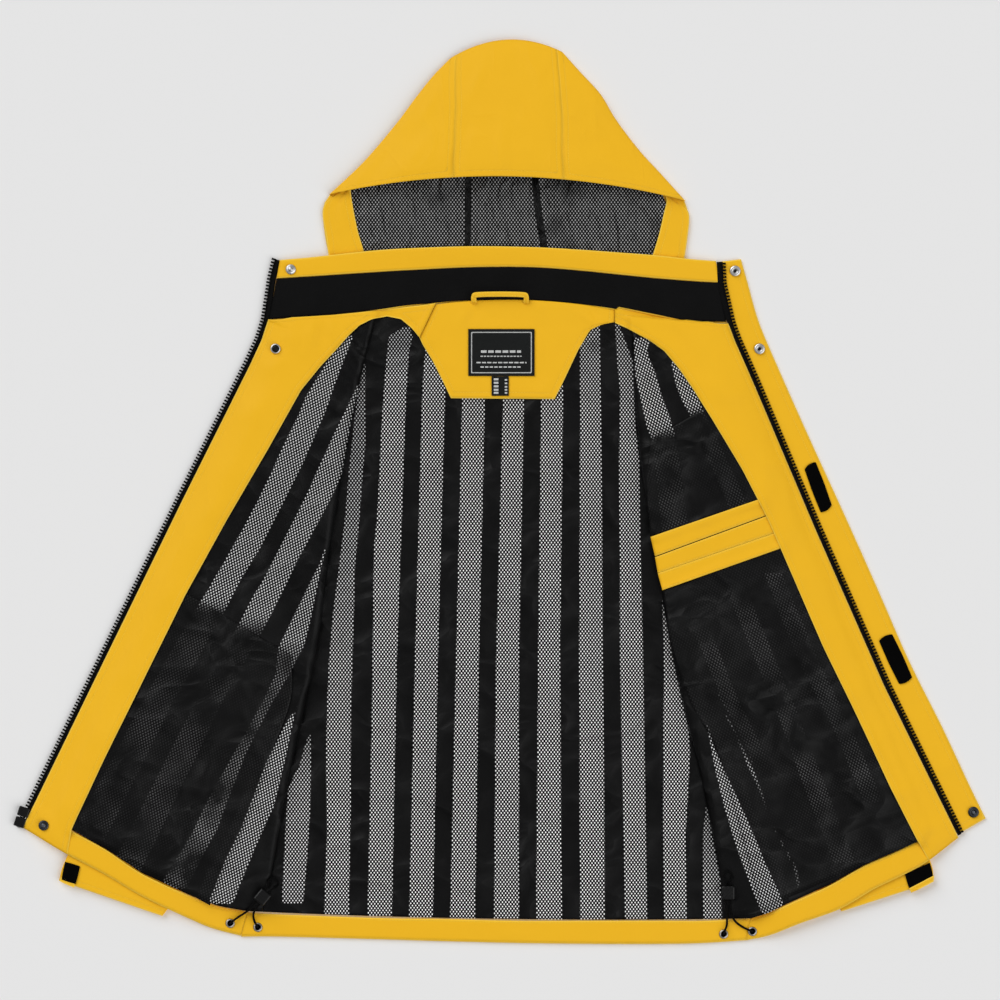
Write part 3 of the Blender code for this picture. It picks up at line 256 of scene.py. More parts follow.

# %% [markdown]
# ## Finishes
# The shell is a woven cloth with a satin coating: nearly flat colour, a painted highlight along its
# edges where a rolled edge would catch the light, stitch rows that sink a little with painted shade
# in their grooves. The lining is a soft black knit with stripes of net, and a painted highlight on
# the ridges of its creases. Real holes would take millions of faces, so the net is painted: each
# hole shows the pale layer that is seen through it. Trim is matt black, snaps and eyelets are
# plated metal.

# %% materials
def new_material(name, roughness, metallic=0.0, specular=0.5):
    material = bpy.data.materials.new(name)
    material.use_nodes = True
    tree = material.node_tree
    shader = tree.nodes["Principled BSDF"]
    shader.inputs["Roughness"].default_value = roughness
    shader.inputs["Metallic"].default_value = metallic
    shader.inputs["Specular IOR Level"].default_value = specular
    return material, tree, shader


def map_value(tree, layer):
    """The two numbers of a named map of the piece."""
    source = add_node(tree, "ShaderNodeUVMap", uv_map=layer)
    parts = add_node(tree, "ShaderNodeSeparateXYZ")
    tree.links.new(source.outputs[0], parts.inputs[0])
    return parts.outputs[0], parts.outputs[1]


def bump(tree, shader, height, distance, strength=1.0, under=None):
    node = add_node(tree, "ShaderNodeBump")
    node.inputs["Strength"].default_value = strength
    node.inputs["Distance"].default_value = distance * MM
    feed(tree, node.inputs["Height"], height)
    if under is not None:
        tree.links.new(under, node.inputs["Normal"])
    tree.links.new(node.outputs[0], shader.inputs["Normal"])
    return node.outputs[0]


YELLOW = (0.862, 0.474, 0.0165, 1.0)
# deeper yellow: the slow drift of the cloth's colour, and painted shade in stitch grooves
YELLOW_DEEP_TONE_AND_GROOVE_SHADE = (0.80, 0.42, 0.014, 1.0)
# pale yellow: the thread's own colour, and the painted highlight along the shell's edges
YELLOW_EDGE_HIGHLIGHT_AND_THREAD = (1.0, 0.74, 0.11, 1.0)
BLACK = (0.0022, 0.0022, 0.0023, 1.0)
# paler black for the painted highlight on the ridges of the lining's creases
BLACK_FOLD_HIGHLIGHT = (0.0075, 0.0075, 0.0077, 1.0)
YARN = (0.002, 0.002, 0.002, 1.0)
BAND_BLACK = (0.0056, 0.0056, 0.0058, 1.0)
THROUGH = (1.0, 1.0, 1.0, 1.0)
THROUGH_DIM = (0.8, 0.8, 0.8, 1.0)
LABEL_BLACK = (0.010, 0.011, 0.011, 1.0)
LABEL_GREY = (0.75, 0.76, 0.75, 1.0)
FLOOR = (0.80, 0.80, 0.80, 1.0)
FLOOR_DARK = (0.78, 0.78, 0.78, 1.0)


NET_ACROSS, NET_ALONG = 3.6, 4.9     # mm; a finer net turns to flat grey at the picture's size


def yellow_cloth(name, stitch_row, crease=0.7, edge_light=0.5):
    """Coated cloth: where its stitch row lies and how high its creases are, in mm."""
    material, tree, shader = new_material(name, 0.48, specular=0.08)
    grain = use_group(tree, GRAIN, Pitch=0.6, Tooth=1.0, Drift_size=90.0)
    folds = use_group(tree, CREASES, Size=120.0, Stretch=2.2)
    distance, along = map_value(tree, "edge")
    sewing = use_group(tree, STITCHES, Distance=distance, Along=along, Row=stitch_row)
    drift = maths(tree, "MULTIPLY", grain["Drift"], 0.35, clamp=True)
    colour = blend_colour(tree, drift, YELLOW, YELLOW_DEEP_TONE_AND_GROOVE_SHADE)
    # painted highlight: a pale band along the named edges, where a rolled edge would catch the light
    colour = blend_colour(tree, maths(tree, "MULTIPLY", sewing["Edge highlight"], edge_light), colour, YELLOW_EDGE_HIGHLIGHT_AND_THREAD)
    # painted shade: the stitch groove is darkened in colour as well as sunk by the bump
    colour = blend_colour(tree, maths(tree, "MULTIPLY", sewing["Groove"], 0.16), colour, YELLOW_DEEP_TONE_AND_GROOVE_SHADE)
    colour = blend_colour(tree, maths(tree, "MULTIPLY", sewing["Thread"], 0.28), colour, YELLOW_EDGE_HIGHLIGHT_AND_THREAD)
    tree.links.new(colour, shader.inputs["Base Color"])
    soft = bump(tree, shader, folds["Height"], crease)
    deep = maths(tree, "ADD", maths(tree, "MULTIPLY", grain["Height"], 0.05),
                 maths(tree, "MULTIPLY", sewing["Groove"], -0.25))
    deep = maths(tree, "ADD", deep, maths(tree, "MULTIPLY", sewing["Thread"], 0.25))
    bump(tree, shader, deep, 1.0, 0.7, soft)
    return material


def striped_lining(name, through, all_over=0.0, fold_size=48.0, fold_stretch=0.7, worn_from=0.05):
    """Black knit with stripes of net; all_over is how much shows through where no stripe is drawn.

    worn_from is where the slow drift of the cloth begins to let a dim stripe through.
    """
    material, tree, shader = new_material(name, 0.38, specular=0.11)
    grain = use_group(tree, GRAIN, Pitch=0.9, Tooth=1.0, Drift_size=45.0)
    folds = use_group(tree, CREASES, Size=fold_size, Stretch=fold_stretch)
    across, along = map_value(tree, "cloth")
    inside, shade = map_value(tree, "stripe")
    net = use_group(tree, NET, Across=across, Along=along, Pitch_across=NET_ACROSS, Pitch_along=NET_ALONG)
    band = use_group(tree, STRIPES, Inside=inside)
    light = maths(tree, "MULTIPLY_ADD", band["Net"], shade, all_over, clamp=True)
    light = maths(tree, "MULTIPLY", light, net["Holes"])
    uneven = maths(tree, "MULTIPLY", maths(tree, "SUBTRACT", grain["Drift"], worn_from), 3.2, clamp=True)
    even = maths(tree, "MULTIPLY_ADD", shade, 1.6, -0.6, clamp=True)
    light = maths(tree, "MULTIPLY", light, maths(tree, "MAXIMUM", uneven, even))
    # painted highlight: the black turns paler where the creases run high, as a fold catching light would
    wear_tone_and_fold_highlight = maths(tree, "MULTIPLY", maths(tree, "SUBTRACT", folds["Height"], 0.6), 1.2, clamp=True)
    cloth = blend_colour(tree, wear_tone_and_fold_highlight, BLACK, BLACK_FOLD_HIGHLIGHT)
    cloth = blend_colour(tree, maths(tree, "MULTIPLY", band["Rib"], 0.7), cloth, YARN)
    tree.links.new(blend_colour(tree, light, cloth, through), shader.inputs["Base Color"])
    soft = bump(tree, shader, folds["Height"], 3.0)
    holes = maths(tree, "MULTIPLY", net["Height"], maths(tree, "ADD", band["Net"], 0.25))
    tooth = maths(tree, "MULTIPLY_ADD", grain["Height"], 0.12, maths(tree, "MULTIPLY", holes, 0.1))
    bump(tree, shader, tooth, 1.0, 0.6, soft)
    return material


def black_trim(name, colour, roughness, pitch, tooth, specular=0.1):
    """Tape, braid, hook cloth and moulded plastic: one dark colour with a grain of some pitch."""
    material, tree, shader = new_material(name, roughness, specular=specular)
    grain = use_group(tree, GRAIN, Pitch=pitch, Tooth=tooth, Drift_size=30.0)
    deep = tuple(0.6 * channel for channel in colour[:3]) + (1.0,)
    tree.links.new(blend_colour(tree, grain["Drift"], colour, deep), shader.inputs["Base Color"])
    bump(tree, shader, grain["Height"], 0.25)
    return material


def woven_label(name, frame_inset, frame_half):
    """Black satin with a grey woven frame at a distance from its edge."""
    material, tree, shader = new_material(name, 0.7, specular=0.12)
    grain = use_group(tree, GRAIN, Pitch=0.6, Tooth=1.0, Drift_size=20.0)
    distance = map_value(tree, "edge")[0]
    away = maths(tree, "ABSOLUTE", maths(tree, "SUBTRACT", distance, frame_inset))
    line = maths(tree, "MULTIPLY", maths(tree, "SUBTRACT", frame_half, away), 3.0, clamp=True)
    woven = maths(tree, "MULTIPLY_ADD", grain["Height"], 0.5, 0.6, clamp=True)
    line = maths(tree, "MULTIPLY", line, woven)
    tree.links.new(blend_colour(tree, line, LABEL_BLACK, LABEL_GREY), shader.inputs["Base Color"])
    bump(tree, shader, maths(tree, "ADD", grain["Height"], line), 0.25)
    return material


def plated(name, colour, roughness):
    """Plated metal whose shine and colour drift a little."""
    material, tree, shader = new_material(name, roughness, metallic=1.0)
    grain = use_group(tree, GRAIN, Pitch=3.0, Tooth=1.0, Drift_size=4.0)
    shade = maths(tree, "MULTIPLY_ADD", grain["Drift"], 0.3, roughness - 0.1, clamp=True)
    tree.links.new(shade, shader.inputs["Roughness"])
    wear_tone_and_fold_highlight = tuple(c * 0.7 for c in colour[:3]) + (1.0,)
    tree.links.new(blend_colour(tree, grain["Drift"], colour, wear_tone_and_fold_highlight), shader.inputs["Base Color"])
    return material


SHELL_CLOTH = yellow_cloth("yellow shell", 6.0)
FACING_CLOTH = yellow_cloth("yellow facing", 7.0, 0.35)
HEM_CLOTH = yellow_cloth("yellow hem", 2.2, 0.5)
FLAP_CLOTH = yellow_cloth("yellow flap", 7.5, 0.35)
WELT_CLOTH = yellow_cloth("yellow welt", 1.8, 0.3, 0.25)
COLLAR_CLOTH = yellow_cloth("yellow collar", 30.0, 0.4)
HOOD_CLOTH = yellow_cloth("yellow hood", 6.5, 0.9, 0.14)
TAB_CLOTH = yellow_cloth("yellow tab", 2.0, 0.2)
BACK_LINING_CLOTH = striped_lining("striped lining", THROUGH)
FRONT_LINING_CLOTH = striped_lining("striped front lining", THROUGH_DIM)
BAG_CLOTH = striped_lining("pocket net", THROUGH_DIM, all_over=0.02, worn_from=0.35)
HOOD_NET = striped_lining("hood net", THROUGH_DIM, all_over=0.52, fold_size=30.0, fold_stretch=2.6,
                          worn_from=0.16)
BAND_CLOTH = black_trim("black band", BAND_BLACK, 0.8, 1.1, 1.6, specular=0.08)
TAPE_CLOTH = black_trim("zip tape", BLACK, 0.7, 0.8, 1.5)
HOOK_CLOTH = black_trim("hook and loop", YARN, 0.9, 1.3, 3.0, specular=0.04)
MOULDED = black_trim("moulded black", YARN, 0.35, 4.0, 0.4, specular=0.25)
TOOTH_PLASTIC = black_trim("zip teeth", YARN, 0.6, 4.0, 0.3, specular=0.06)
CORD_BRAID = black_trim("cord braid", YARN, 0.75, 1.0, 3.0)
LABEL_CLOTH = woven_label("woven label", 3.6, 0.65)
TAB_LABEL_CLOTH = woven_label("size tab", -9.0, 0.65)     # its frame is off the cloth, so none shows
LABEL_THREAD = black_trim("label thread", LABEL_GREY, 0.8, 0.6, 1.0)
RING_METAL = plated("eyelet metal", (0.42, 0.40, 0.37, 1.0), 0.28)
DOT_METAL = plated("snap centre", (0.16, 0.175, 0.20, 1.0), 0.35)
SILVER = plated("silver snap", (0.70, 0.70, 0.70, 1.0), 0.3)
BRONZE = plated("dark snap", (0.055, 0.06, 0.068, 1.0), 0.35)
print("materials:", len(bpy.data.materials))


# %% [markdown]
# ## Measures
# These are the coat's own sizes in millimetres, as the solids were built to. Walls and gaps set the
# level of each layer. A table gives the two edges of a piece, one row for each section across it,
# and stands in the cell of its piece. The line of the open zip is shared by fronts, facings, flap
# and tape, so it comes first.

# %% sizes
SHELL = 1.2                # coated shell cloth, as the solids have it
LINING = 1.0
GAP = 0.3                  # between pieces that touch or are sewn together
LINING_Z = SHELL + GAP     # where the lining level starts
LINING_TOP = LINING_Z + LINING


# %% tables of the cut
def table(columns, *rows):
    """Rows of numbers with named columns."""
    names = columns.split()
    return [SimpleNamespace(**dict(zip(names, row))) for row in rows]


ZIP_LINE_LEFT = table("x y", (-526, -372), (-436, -187), (-349, -9), (-275, 139), (-262, 167),
                      (-255, 189), (-248, 235), (-243, 255))
ZIP_LINE_RIGHT = table("x y", (504, -380), (422, -213), (346, -40), (277, 123), (258, 166),
                       (251, 185), (241, 229), (240, 253))
print("lining starts", LINING_Z, "mm up; the zip line has", len(ZIP_LINE_LEFT), "points a side")

# %% [markdown]
# ## From the cut to the cloth
# A piece starts as its plan, a grid of points between two cut edges. Its height comes from the
# layer under it, as when real cloth is laid down. A cloth simulation would settle somewhere else
# than the real coat did, so creases are listed and pressed in: each is a short line with a width
# and a height, soft at its ends. The wall is a modifier, which keeps the mesh an open sheet.

# %% plan and height
def column(rows, name):
    return np.array([getattr(row, name) for row in rows], float)


def smooth_samples(values, parameters):
    """A smooth curve through the values, read at row numbers that may be fractions."""
    values = np.asarray(values, float)
    last = len(values) - 1
    padded = np.concatenate(([2 * values[0] - values[1]], values, [2 * values[-1] - values[-2]]))
    index = np.minimum(np.asarray(parameters, float).astype(int), last - 1)
    t = parameters - index
    a, b, c, d = (padded[index + k] for k in range(4))
    return 0.5 * (2 * b + (c - a) * t + (2 * a - 5 * b + 4 * c - d) * t * t
                  + (3 * b - a - 3 * c + d) * t ** 3)


def smooth_line(points, count):
    """A smooth line of so many points through a few."""
    points = np.asarray(points, float)
    places = np.linspace(0, len(points) - 1, count)
    return np.stack([smooth_samples(points[:, k], places) for k in range(points.shape[1])], axis=1)


def resample(rows, count, smooth=True):
    """A table's sections, evened out to so many."""
    parameters = np.linspace(0, len(rows) - 1, count)
    columns = {}
    for name in vars(rows[0]):
        values = column(rows, name)
        if smooth:
            columns[name] = smooth_samples(values, parameters)
        else:
            columns[name] = np.interp(parameters, np.arange(len(rows)), values)
    return [SimpleNamespace(**{n: v[i] for n, v in columns.items()}) for i in range(count)]


def zip_x(side, y):
    """Where the open zip stands at a height y."""
    line = ZIP_LINE_LEFT if side == "left" else ZIP_LINE_RIGHT
    return np.interp(y, column(line, "y"), column(line, "x"))


SNAP_REACH = 5.0           # mm; an edge that is this near to the zip follows it


def snap_to_zip(rows, side, name):
    """Rows whose edge runs along the zip, with that edge set on the zip line."""
    for row in rows:
        on_line = float(zip_x(side, getattr(row, name + "_y")))
        if abs(getattr(row, name + "_x") - on_line) < SNAP_REACH:
            setattr(row, name + "_x", on_line)
    return rows


def smoothstep(value):
    t = np.clip(value, 0.0, 1.0)
    return t * t * (3 - 2 * t)


def ruled_plan(rows, left, right, fractions):
    """Plan points between two edges of a table, at the given fractions of each row."""
    f = np.asarray(fractions, float)[None, :, None]
    a = np.stack([column(rows, left + "_x"), column(rows, left + "_y")], axis=1)[:, None]
    b = np.stack([column(rows, right + "_x"), column(rows, right + "_y")], axis=1)[:, None]
    plan = a + (b - a) * f
    bow = column(rows, "bow") if hasattr(rows[0], "bow") else np.zeros(len(rows))
    plan[..., 1] -= bow[:, None] * (4 * f * (1 - f))[..., 0]
    return plan


def corner_plan(corners, rows, columns):
    """Plan points of a four-cornered piece: lower left, lower right, upper right, upper left."""
    a, b, c, d = (np.array(corner, float) for corner in corners)
    v = np.linspace(0, 1, rows)[:, None, None]
    u = np.linspace(0, 1, columns)[None, :, None]
    return (a * (1 - u) + b * u) * (1 - v) + (d * (1 - u) + c * u) * v


def rounded_plan(corners, rows, columns, radius):
    """The same with its corners rounded, by drawing the first and last columns in."""
    plan = corner_plan(corners, rows, columns)
    middle = plan.mean(axis=(0, 1))
    v = np.abs(np.linspace(-1, 1, rows))[:, None]
    u = np.abs(np.linspace(-1, 1, columns))[None, :]
    pull = radius * np.clip(v + u - 1.0, 0, 1) ** 2
    away = plan - middle
    return plan - away / np.maximum(np.linalg.norm(away, axis=2), 1e-9)[..., None] * pull[..., None]


def run_on(rows, reach):
    """Moves the last row of a table on by a length, the way its two edges run."""
    last, before = rows[-1], rows[-2]
    for end in ("out", "in"):
        step = np.array([getattr(last, end + a) - getattr(before, end + a) for a in ("_x", "_y")])
        step *= reach / max(float(np.linalg.norm(step)), 0.01)
        setattr(last, end + "_x", getattr(last, end + "_x") + step[0])
        setattr(last, end + "_y", getattr(last, end + "_y") + step[1])


print("a soft step is", float(smoothstep(0.5)), "half way up")

# %% height over what lies below
TOPS = {}                  # the upper side of each laid piece, for what lies on it


def height_under(x, y, carriers, reach):
    """The highest point of the carrying pieces under a small square round x, y."""
    highest = None
    steps = (-reach, 0.0, reach)
    for name in carriers:
        for dx in steps:
            for dy in steps:
                hit = TOPS[name].ray_cast(Vector((x + dx, y + dy, 100.0)), Vector((0, 0, -1)))[0]
                if hit is not None and (highest is None or hit.z > highest):
                    highest = hit.z
    return highest


def neighbour_mean(values):
    padded = np.pad(values, 1, mode="edge")
    return (padded[:-2, 1:-1] + padded[2:, 1:-1] + padded[1:-1, :-2] + padded[1:-1, 2:]) / 4


def laid_on(plan, carriers, wall, gap=GAP, reach=2.5, floor=0.0):
    """Upper points for a piece that lies on other pieces."""
    heights = np.full(plan.shape[:2], floor)
    for r in range(plan.shape[0]):
        for c in range(plan.shape[1]):
            under = height_under(plan[r, c, 0], plan[r, c, 1], carriers, reach)
            if under is not None:
                heights[r, c] = max(floor, under + gap)
    for _ in range(3):
        heights = np.maximum(heights, neighbour_mean(heights))
    return np.dstack([plan, heights + wall])


# %% creases
def press(points, creases, strength=1.0):
    """Adds soft creases: pixel x, y to pixel x, y, half width in pixels, height in mm."""
    lift = np.zeros(points.shape[:2])
    for x0, y0, x1, y1, half, height in creases:
        a, b = np.array(px(x0, y0)), np.array(px(x1, y1))
        run = b - a
        t = ((points[..., :2] - a) @ run) / (run @ run)
        near = a + np.clip(t, 0, 1)[..., None] * run
        away = np.linalg.norm(points[..., :2] - near, axis=2) / (half * PIXEL)
        ends = 0.35 + 0.65 * np.sin(math.pi * np.clip(t, 0, 1))
        lift += height * strength * ends * np.exp(-away ** 2)
    points = points.copy()
    points[..., 2] += lift
    return points


def ruffle(points, size, height, seed, fade=12.0):
    """Slow unevenness of cloth laid by hand: it only lifts, and fades out toward the edges."""
    inside = np.minimum(edge_distance(points, "left right bottom top")[0] / fade, 1.0)
    points = points.copy()
    for index in np.ndindex(points.shape[:2]):
        x, y = points[index][:2]
        wave = noise.noise(Vector((x / size, y / size, seed)))
        wave += 0.4 * noise.noise(Vector((x / size * 2.3, y / size * 2.3, seed + 7.0)))
        points[index][2] += height * max(wave + 0.5, 0.0) * inside[index]
    return points


# %% maps of a piece
def lengths(points, axis):
    """Running length along rows or columns."""
    steps = np.linalg.norm(np.diff(points, axis=axis), axis=2)
    start = np.zeros_like(np.take(steps, [0], axis=axis))
    return np.concatenate([start, np.cumsum(steps, axis=axis)], axis=axis)


FARTHEST = 500.0           # mm, where no edge is named


def edge_distance(points, edges):
    """How far each point is from the nearest of the named edges, and its place along it."""
    over, up = lengths(points, 1), lengths(points, 0)
    choices = {"left": (over, up), "right": (over[:, -1:] - over, up),
               "bottom": (up, over), "top": (up[-1:] - up, over)}
    best, along = np.full(points.shape[:2], FARTHEST), up
    for name in edges.split():
        distance, run = choices[name]
        along = np.where(distance < best, run, along)
        best = np.minimum(best, distance)
    return best, along


FAR_OUTSIDE = -99.0        # of every stripe, in pixels
STRIPE_END = 2.0           # pixels that a stripe runs on past its first and last row


def stripe_map(points, stripes):
    """How deep each point is inside its nearest stripe, and how brightly that stripe shows."""
    x = points[..., 0] / PIXEL + CENTRE[0]
    y = CENTRE[1] - points[..., 1] / PIXEL
    inside = np.full(x.shape, FAR_OUTSIDE)
    shade = np.zeros(x.shape)
    for line in stripes:
        left, right, light = (np.interp(y, *zip(*border)) for border in (line.left, line.right, line.shade))
        ends = np.minimum(y - line.left[0][0], line.left[-1][0] - y) + STRIPE_END
        depth = np.minimum(np.minimum(x - left, right - x), ends)
        shade = np.where(depth > inside, light, shade)
        inside = np.maximum(inside, depth)
    return inside * PIXEL, shade


def cloth_map(points, turn):
    """Millimetres across and along the yarn, turned to run with the stripes."""
    c, s = math.cos(math.radians(turn)), math.sin(math.radians(turn))
    return points[..., 0] * c + points[..., 1] * s, points[..., 1] * c - points[..., 0] * s


def grid_faces(rows, columns, ring=False):
    """The four-sided faces of a grid of points; a ring's last column joins its first."""
    wide = columns if ring else columns - 1
    return [(r * columns + c, r * columns + (c + 1) % columns,
             (r + 1) * columns + (c + 1) % columns, (r + 1) * columns + c)
            for r in range(rows - 1) for c in range(wide)]


def set_maps(mesh, maps):
    """Each map is two numbers a point; they are kept as the mesh's UV layers."""
    corner_points = np.array([loop.vertex_index for loop in mesh.loops])
    for name, (first, second) in maps.items():
        layer = mesh.uv_layers.new(name=name)
        both = np.stack([np.ravel(first), np.ravel(second)], axis=1)
        layer.data.foreach_set("uv", both[corner_points].ravel().astype(np.float32))


def finish_piece(thing, node, material):
    """Gives a piece its material, hangs it under the jacket's body and hides the solid it stands for."""
    thing.data.materials.append(material)
    scene.collection.objects.link(thing)
    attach(thing, "jacket")
    if node:
        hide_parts(node)
    return thing


WALL = 0.8                 # mm of wall in the picture; the solids carry thicker ones
NARROWEST = 0.0101         # metres; a sheet is stated no narrower than this
LEAST_AREA_SHARE = 0.31    # a slanting strip fills at least this much of its flat size


def lay(node, points, material, slot, rests, edges="left right", stripes=(), turn=0.0, wall=WALL,
        crease=(), with_pieces=()):
    """A sheet of cloth from its upper points: mesh, wall and maps, with the solid it stands for hidden."""
    across, along = points[:, 1:] - points[:, :-1], points[1:] - points[:-1]
    facing = (across[:-1, :, 0] * along[:, :-1, 1] - across[:-1, :, 1] * along[:, :-1, 0]).sum()
    widths, heights = lengths(points, 1)[:, -1], lengths(points, 0)[-1]
    area = np.linalg.norm(np.cross(across[:-1], along[:, :-1]), axis=2).sum()
    if crease:
        points = press(points, crease)
    rows, columns = points.shape[:2]
    faces = grid_faces(rows, columns)
    if facing < 0:
        faces = [face[::-1] for face in faces]
    TOPS[node] = BVHTree.FromPolygons([Vector(p) for p in points.reshape(-1, 3)], faces)
    mesh = bpy.data.meshes.new(node + "_cloth")
    mesh.from_pydata((points.reshape(-1, 3) * MM).tolist(), [], faces)
    mesh.polygons.foreach_set("use_smooth", [True] * len(faces))
    set_maps(mesh, {"edge": edge_distance(points, edges), "cloth": cloth_map(points, turn),
                    "stripe": stripe_map(points, stripes)})
    thing = bpy.data.objects.new(node + "_cloth", mesh)
    solid = thing.modifiers.new("wall", "SOLIDIFY")
    solid.thickness = wall * MM
    solid.offset = -1.0
    finish_piece(thing, node, material)
    size = [max(NARROWEST, float(max(side)) * MM) for side in (widths, heights)]
    least, whole = LEAST_AREA_SHARE * size[0] * size[1], size[0] * size[1]
    area = max(min(float(area) * MM * MM, whole), least)

# %% [markdown]
# ## Stripes of the lining
# The knit changes from plain to net in long stripes. A texture couldn't follow them, so each stripe
# is drawn by its two borders, given as (height, place) in pixels of the picture, and by (height,
# brightness): how much of the pale layer below shows through its holes.

# %% one stripe
def stripe(left, right, shade):
    return SimpleNamespace(left=left, right=right, shade=shade)


# %% [markdown]
# ## Back
# The back is one width of coated cloth under its lining. The lining is a little larger than the
# shell, so it lies in low waves that run across the coat. Waves could be simulated, but a sine and a
# few listed creases pressed in stay where they are put.

# %% back: the cut
# hem to neckline
BACK = table(
    "left_x left_y right_x right_y bow",
    (-275, -461, 273, -469, 4.4),
    (-262, -394, 253, -394, 1.1),
    (-244, -317, 234, -317, 0),
    (-223, -229, 213, -229, 0),
    (-211, -130, 196, -130, 0),
    (-196, -31, 177, -31, 0),
    (-182, 68, 165, 68, 0),
    (-165, 140, 161, 140, -5.5),
    (-152, 193, 157, 193, -16.5),
)
print("back:", len(BACK), "sections")

# %% back: net stripes
BACK_STRIPES = [
    stripe([(737, 307), (763, 300.5), (787, 288.5), (820, 286), (854, 284.5), (901, 282)],
           [(756, 311), (807, 310.6), (861, 307), (908, 303)], [(740, 0.5), (780, 0.9)]),
    stripe([(366, 361), (424, 354), (471, 349), (519, 345), (567, 339), (614, 333), (661, 329),
            (710, 327), (767, 326), (834, 327), (920, 324)],
           [(366, 365.5), (444, 365.5), (471, 363), (519, 359.5), (567, 355), (614, 354), (710, 351),
            (794, 351), (920, 349)], [(380, 0.5), (600, 0.8), (800, 1.0)]),
    stripe([(329, 401), (336, 389), (364, 386), (417, 382), (471, 379.5), (519, 377), (547, 374),
            (710, 372), (920, 367.5)],
           [(329, 410), (336, 413), (352, 409), (400, 406), (660, 397), (920, 392)],
           [(340, 0.5), (375, 0.9), (800, 1.0)]),
    stripe([(345, 426), (365, 424), (400, 422), (660, 415), (920, 409)],
           [(345, 448), (400, 445), (660, 438), (920, 433)], [(380, 0.9), (800, 1.0)]),
    stripe([(385, 463), (400, 462), (660, 456), (920, 450)],
           [(385, 486), (400, 485), (660, 479), (920, 475)], [(380, 0.9), (800, 1.0)]),
    stripe([(390, 503.5), (400, 503), (660, 496), (920, 494)],
           [(390, 524.5), (400, 524), (660, 519), (920, 519)], [(380, 0.9), (800, 1.0)]),
    stripe([(380, 541), (400, 541), (660, 538), (920, 536)],
           [(380, 563), (400, 563), (660, 560), (920, 562)], [(380, 0.9), (800, 1.0)]),
    stripe([(325, 580), (400, 580), (660, 579), (920, 580)],
           [(325, 600), (400, 601), (660, 603), (920, 605)], [(345, 0.7), (420, 0.9), (800, 1.0)]),
    stripe([(322, 615), (361, 617), (392, 620), (459, 619), (660, 620), (920, 625)],
           [(322, 618), (339, 624.5), (361, 632.6), (392, 634), (422, 635), (459, 639), (660, 643),
            (920, 647)], [(335, 0.6), (420, 0.9), (800, 1.0)]),
    stripe([(585, 661.5), (658, 663.8), (802, 663), (920, 664)],
           [(585, 663), (662, 679), (735, 689), (753, 690), (791, 688), (835, 685.5), (920, 686.7)],
           [(590, 0.8), (700, 1.0)]),
    stripe([(806, 706), (831, 703), (920, 703)], [(806, 708), (824, 713), (842, 719), (920, 722)],
           [(806, 0.5), (860, 0.7), (885, 0.9)]),
]
print("back stripes:", len(BACK_STRIPES))

# %% back: shell and lining
RIPPLE_HEIGHT = 1.1
RIPPLE_LENGTH = 17.0
BACK_ROWS = 150
BACK_CREASES = [           # each crease: x, y to x, y in pixels, half width in pixels, height in mm
    (372, 338, 404, 322, 3, 1.4), (380, 350, 400, 343, 3, 1.6), (404, 336, 420, 346, 3, 1.6),
    (400, 330, 416, 334, 2.5, 1.4), (376, 362, 390, 366, 3, 1.3), (406, 358, 418, 352, 3, 1.2),
    (408, 378, 420, 384, 4, 0.9), (330, 430, 372, 700, 5, 0.7), (372, 760, 360, 900, 6, 0.8),
    (452, 420, 440, 610, 5, 0.5), (520, 640, 600, 660, 6, 0.8), (400, 560, 470, 572, 7, -0.5),
    (600, 470, 640, 640, 6, 0.7), (560, 740, 630, 720, 7, 0.6), (470, 840, 560, 850, 8, 0.6),
    (330, 640, 350, 760, 6, 0.7), (650, 700, 668, 860, 6, 0.7)]


def make_back():
    plan = ruled_plan(resample(BACK, 40), "left", "right", np.linspace(0, 1, 30))
    shell = np.dstack([plan, np.full(plan.shape[:2], SHELL)])
    lay("back_shell", shell, SHELL_CLOTH, "yellow_shell", [], edges="left right bottom top")
    across = np.linspace(0, 1, 100)
    plan = ruled_plan(resample(BACK, BACK_ROWS), "left", "right", across)
    up = np.linspace(0, 1, BACK_ROWS)[:, None]
    inside = smoothstep((across - 0.1) / 0.2) * smoothstep((0.9 - across) / 0.2)
    inside = inside * smoothstep(7.0 * up) * smoothstep(3.5 * (1 - up))
    ripple = RIPPLE_HEIGHT * inside * (1 + np.sin(plan[..., 1] / RIPPLE_LENGTH + 2.0 * across))
    lining = ruffle(np.dstack([plan, LINING_TOP + ripple]), 34.0, 1.6, 3.0, 30.0)
    lay("back_lining", lining, BACK_LINING_CLOTH, "black_lining", ["back_shell"], stripes=BACK_STRIPES,
        turn=0.8, crease=BACK_CREASES)
    print("back: shell and lining")


make_back()


# %% [markdown]
# ## Sleeves and cuffs
# The sleeves are flat tubes tucked under the fronts; only the cuffs show at the hem. A black patch
# of hook tape and a small tab close each cuff.

# %% sleeves: the cut
# armhole to cuff: the two folded edges of the flattened tube and its height
SLEEVE_LEFT = table(
    "crown_x crown_y arm_x arm_y height",
    (-186, 75, -217, -172, 8),
    (-231, 33, -239, -218, 7.4),
    (-286, -42, -262, -267, 6.6),
    (-343, -146, -290, -328, 6.2),
    (-396, -245, -321, -388, 6),
    (-442, -333, -349, -436, 6),
    (-477, -403, -365, -458, 6),
    (-485, -427, -371, -466, 5.8),
)

SLEEVE_RIGHT = table(
    "crown_x crown_y arm_x arm_y height",
    (169, 75, 207, -172, 8),
    (220, 33, 233, -218, 7.4),
    (277, -42, 262, -267, 6.6),
    (337, -146, 293, -328, 6.2),
    (392, -245, 321, -388, 6),
    (440, -333, 346, -436, 6),
    (472, -403, 370, -452, 6),
    (477, -428, 375, -461, 5.8),
)

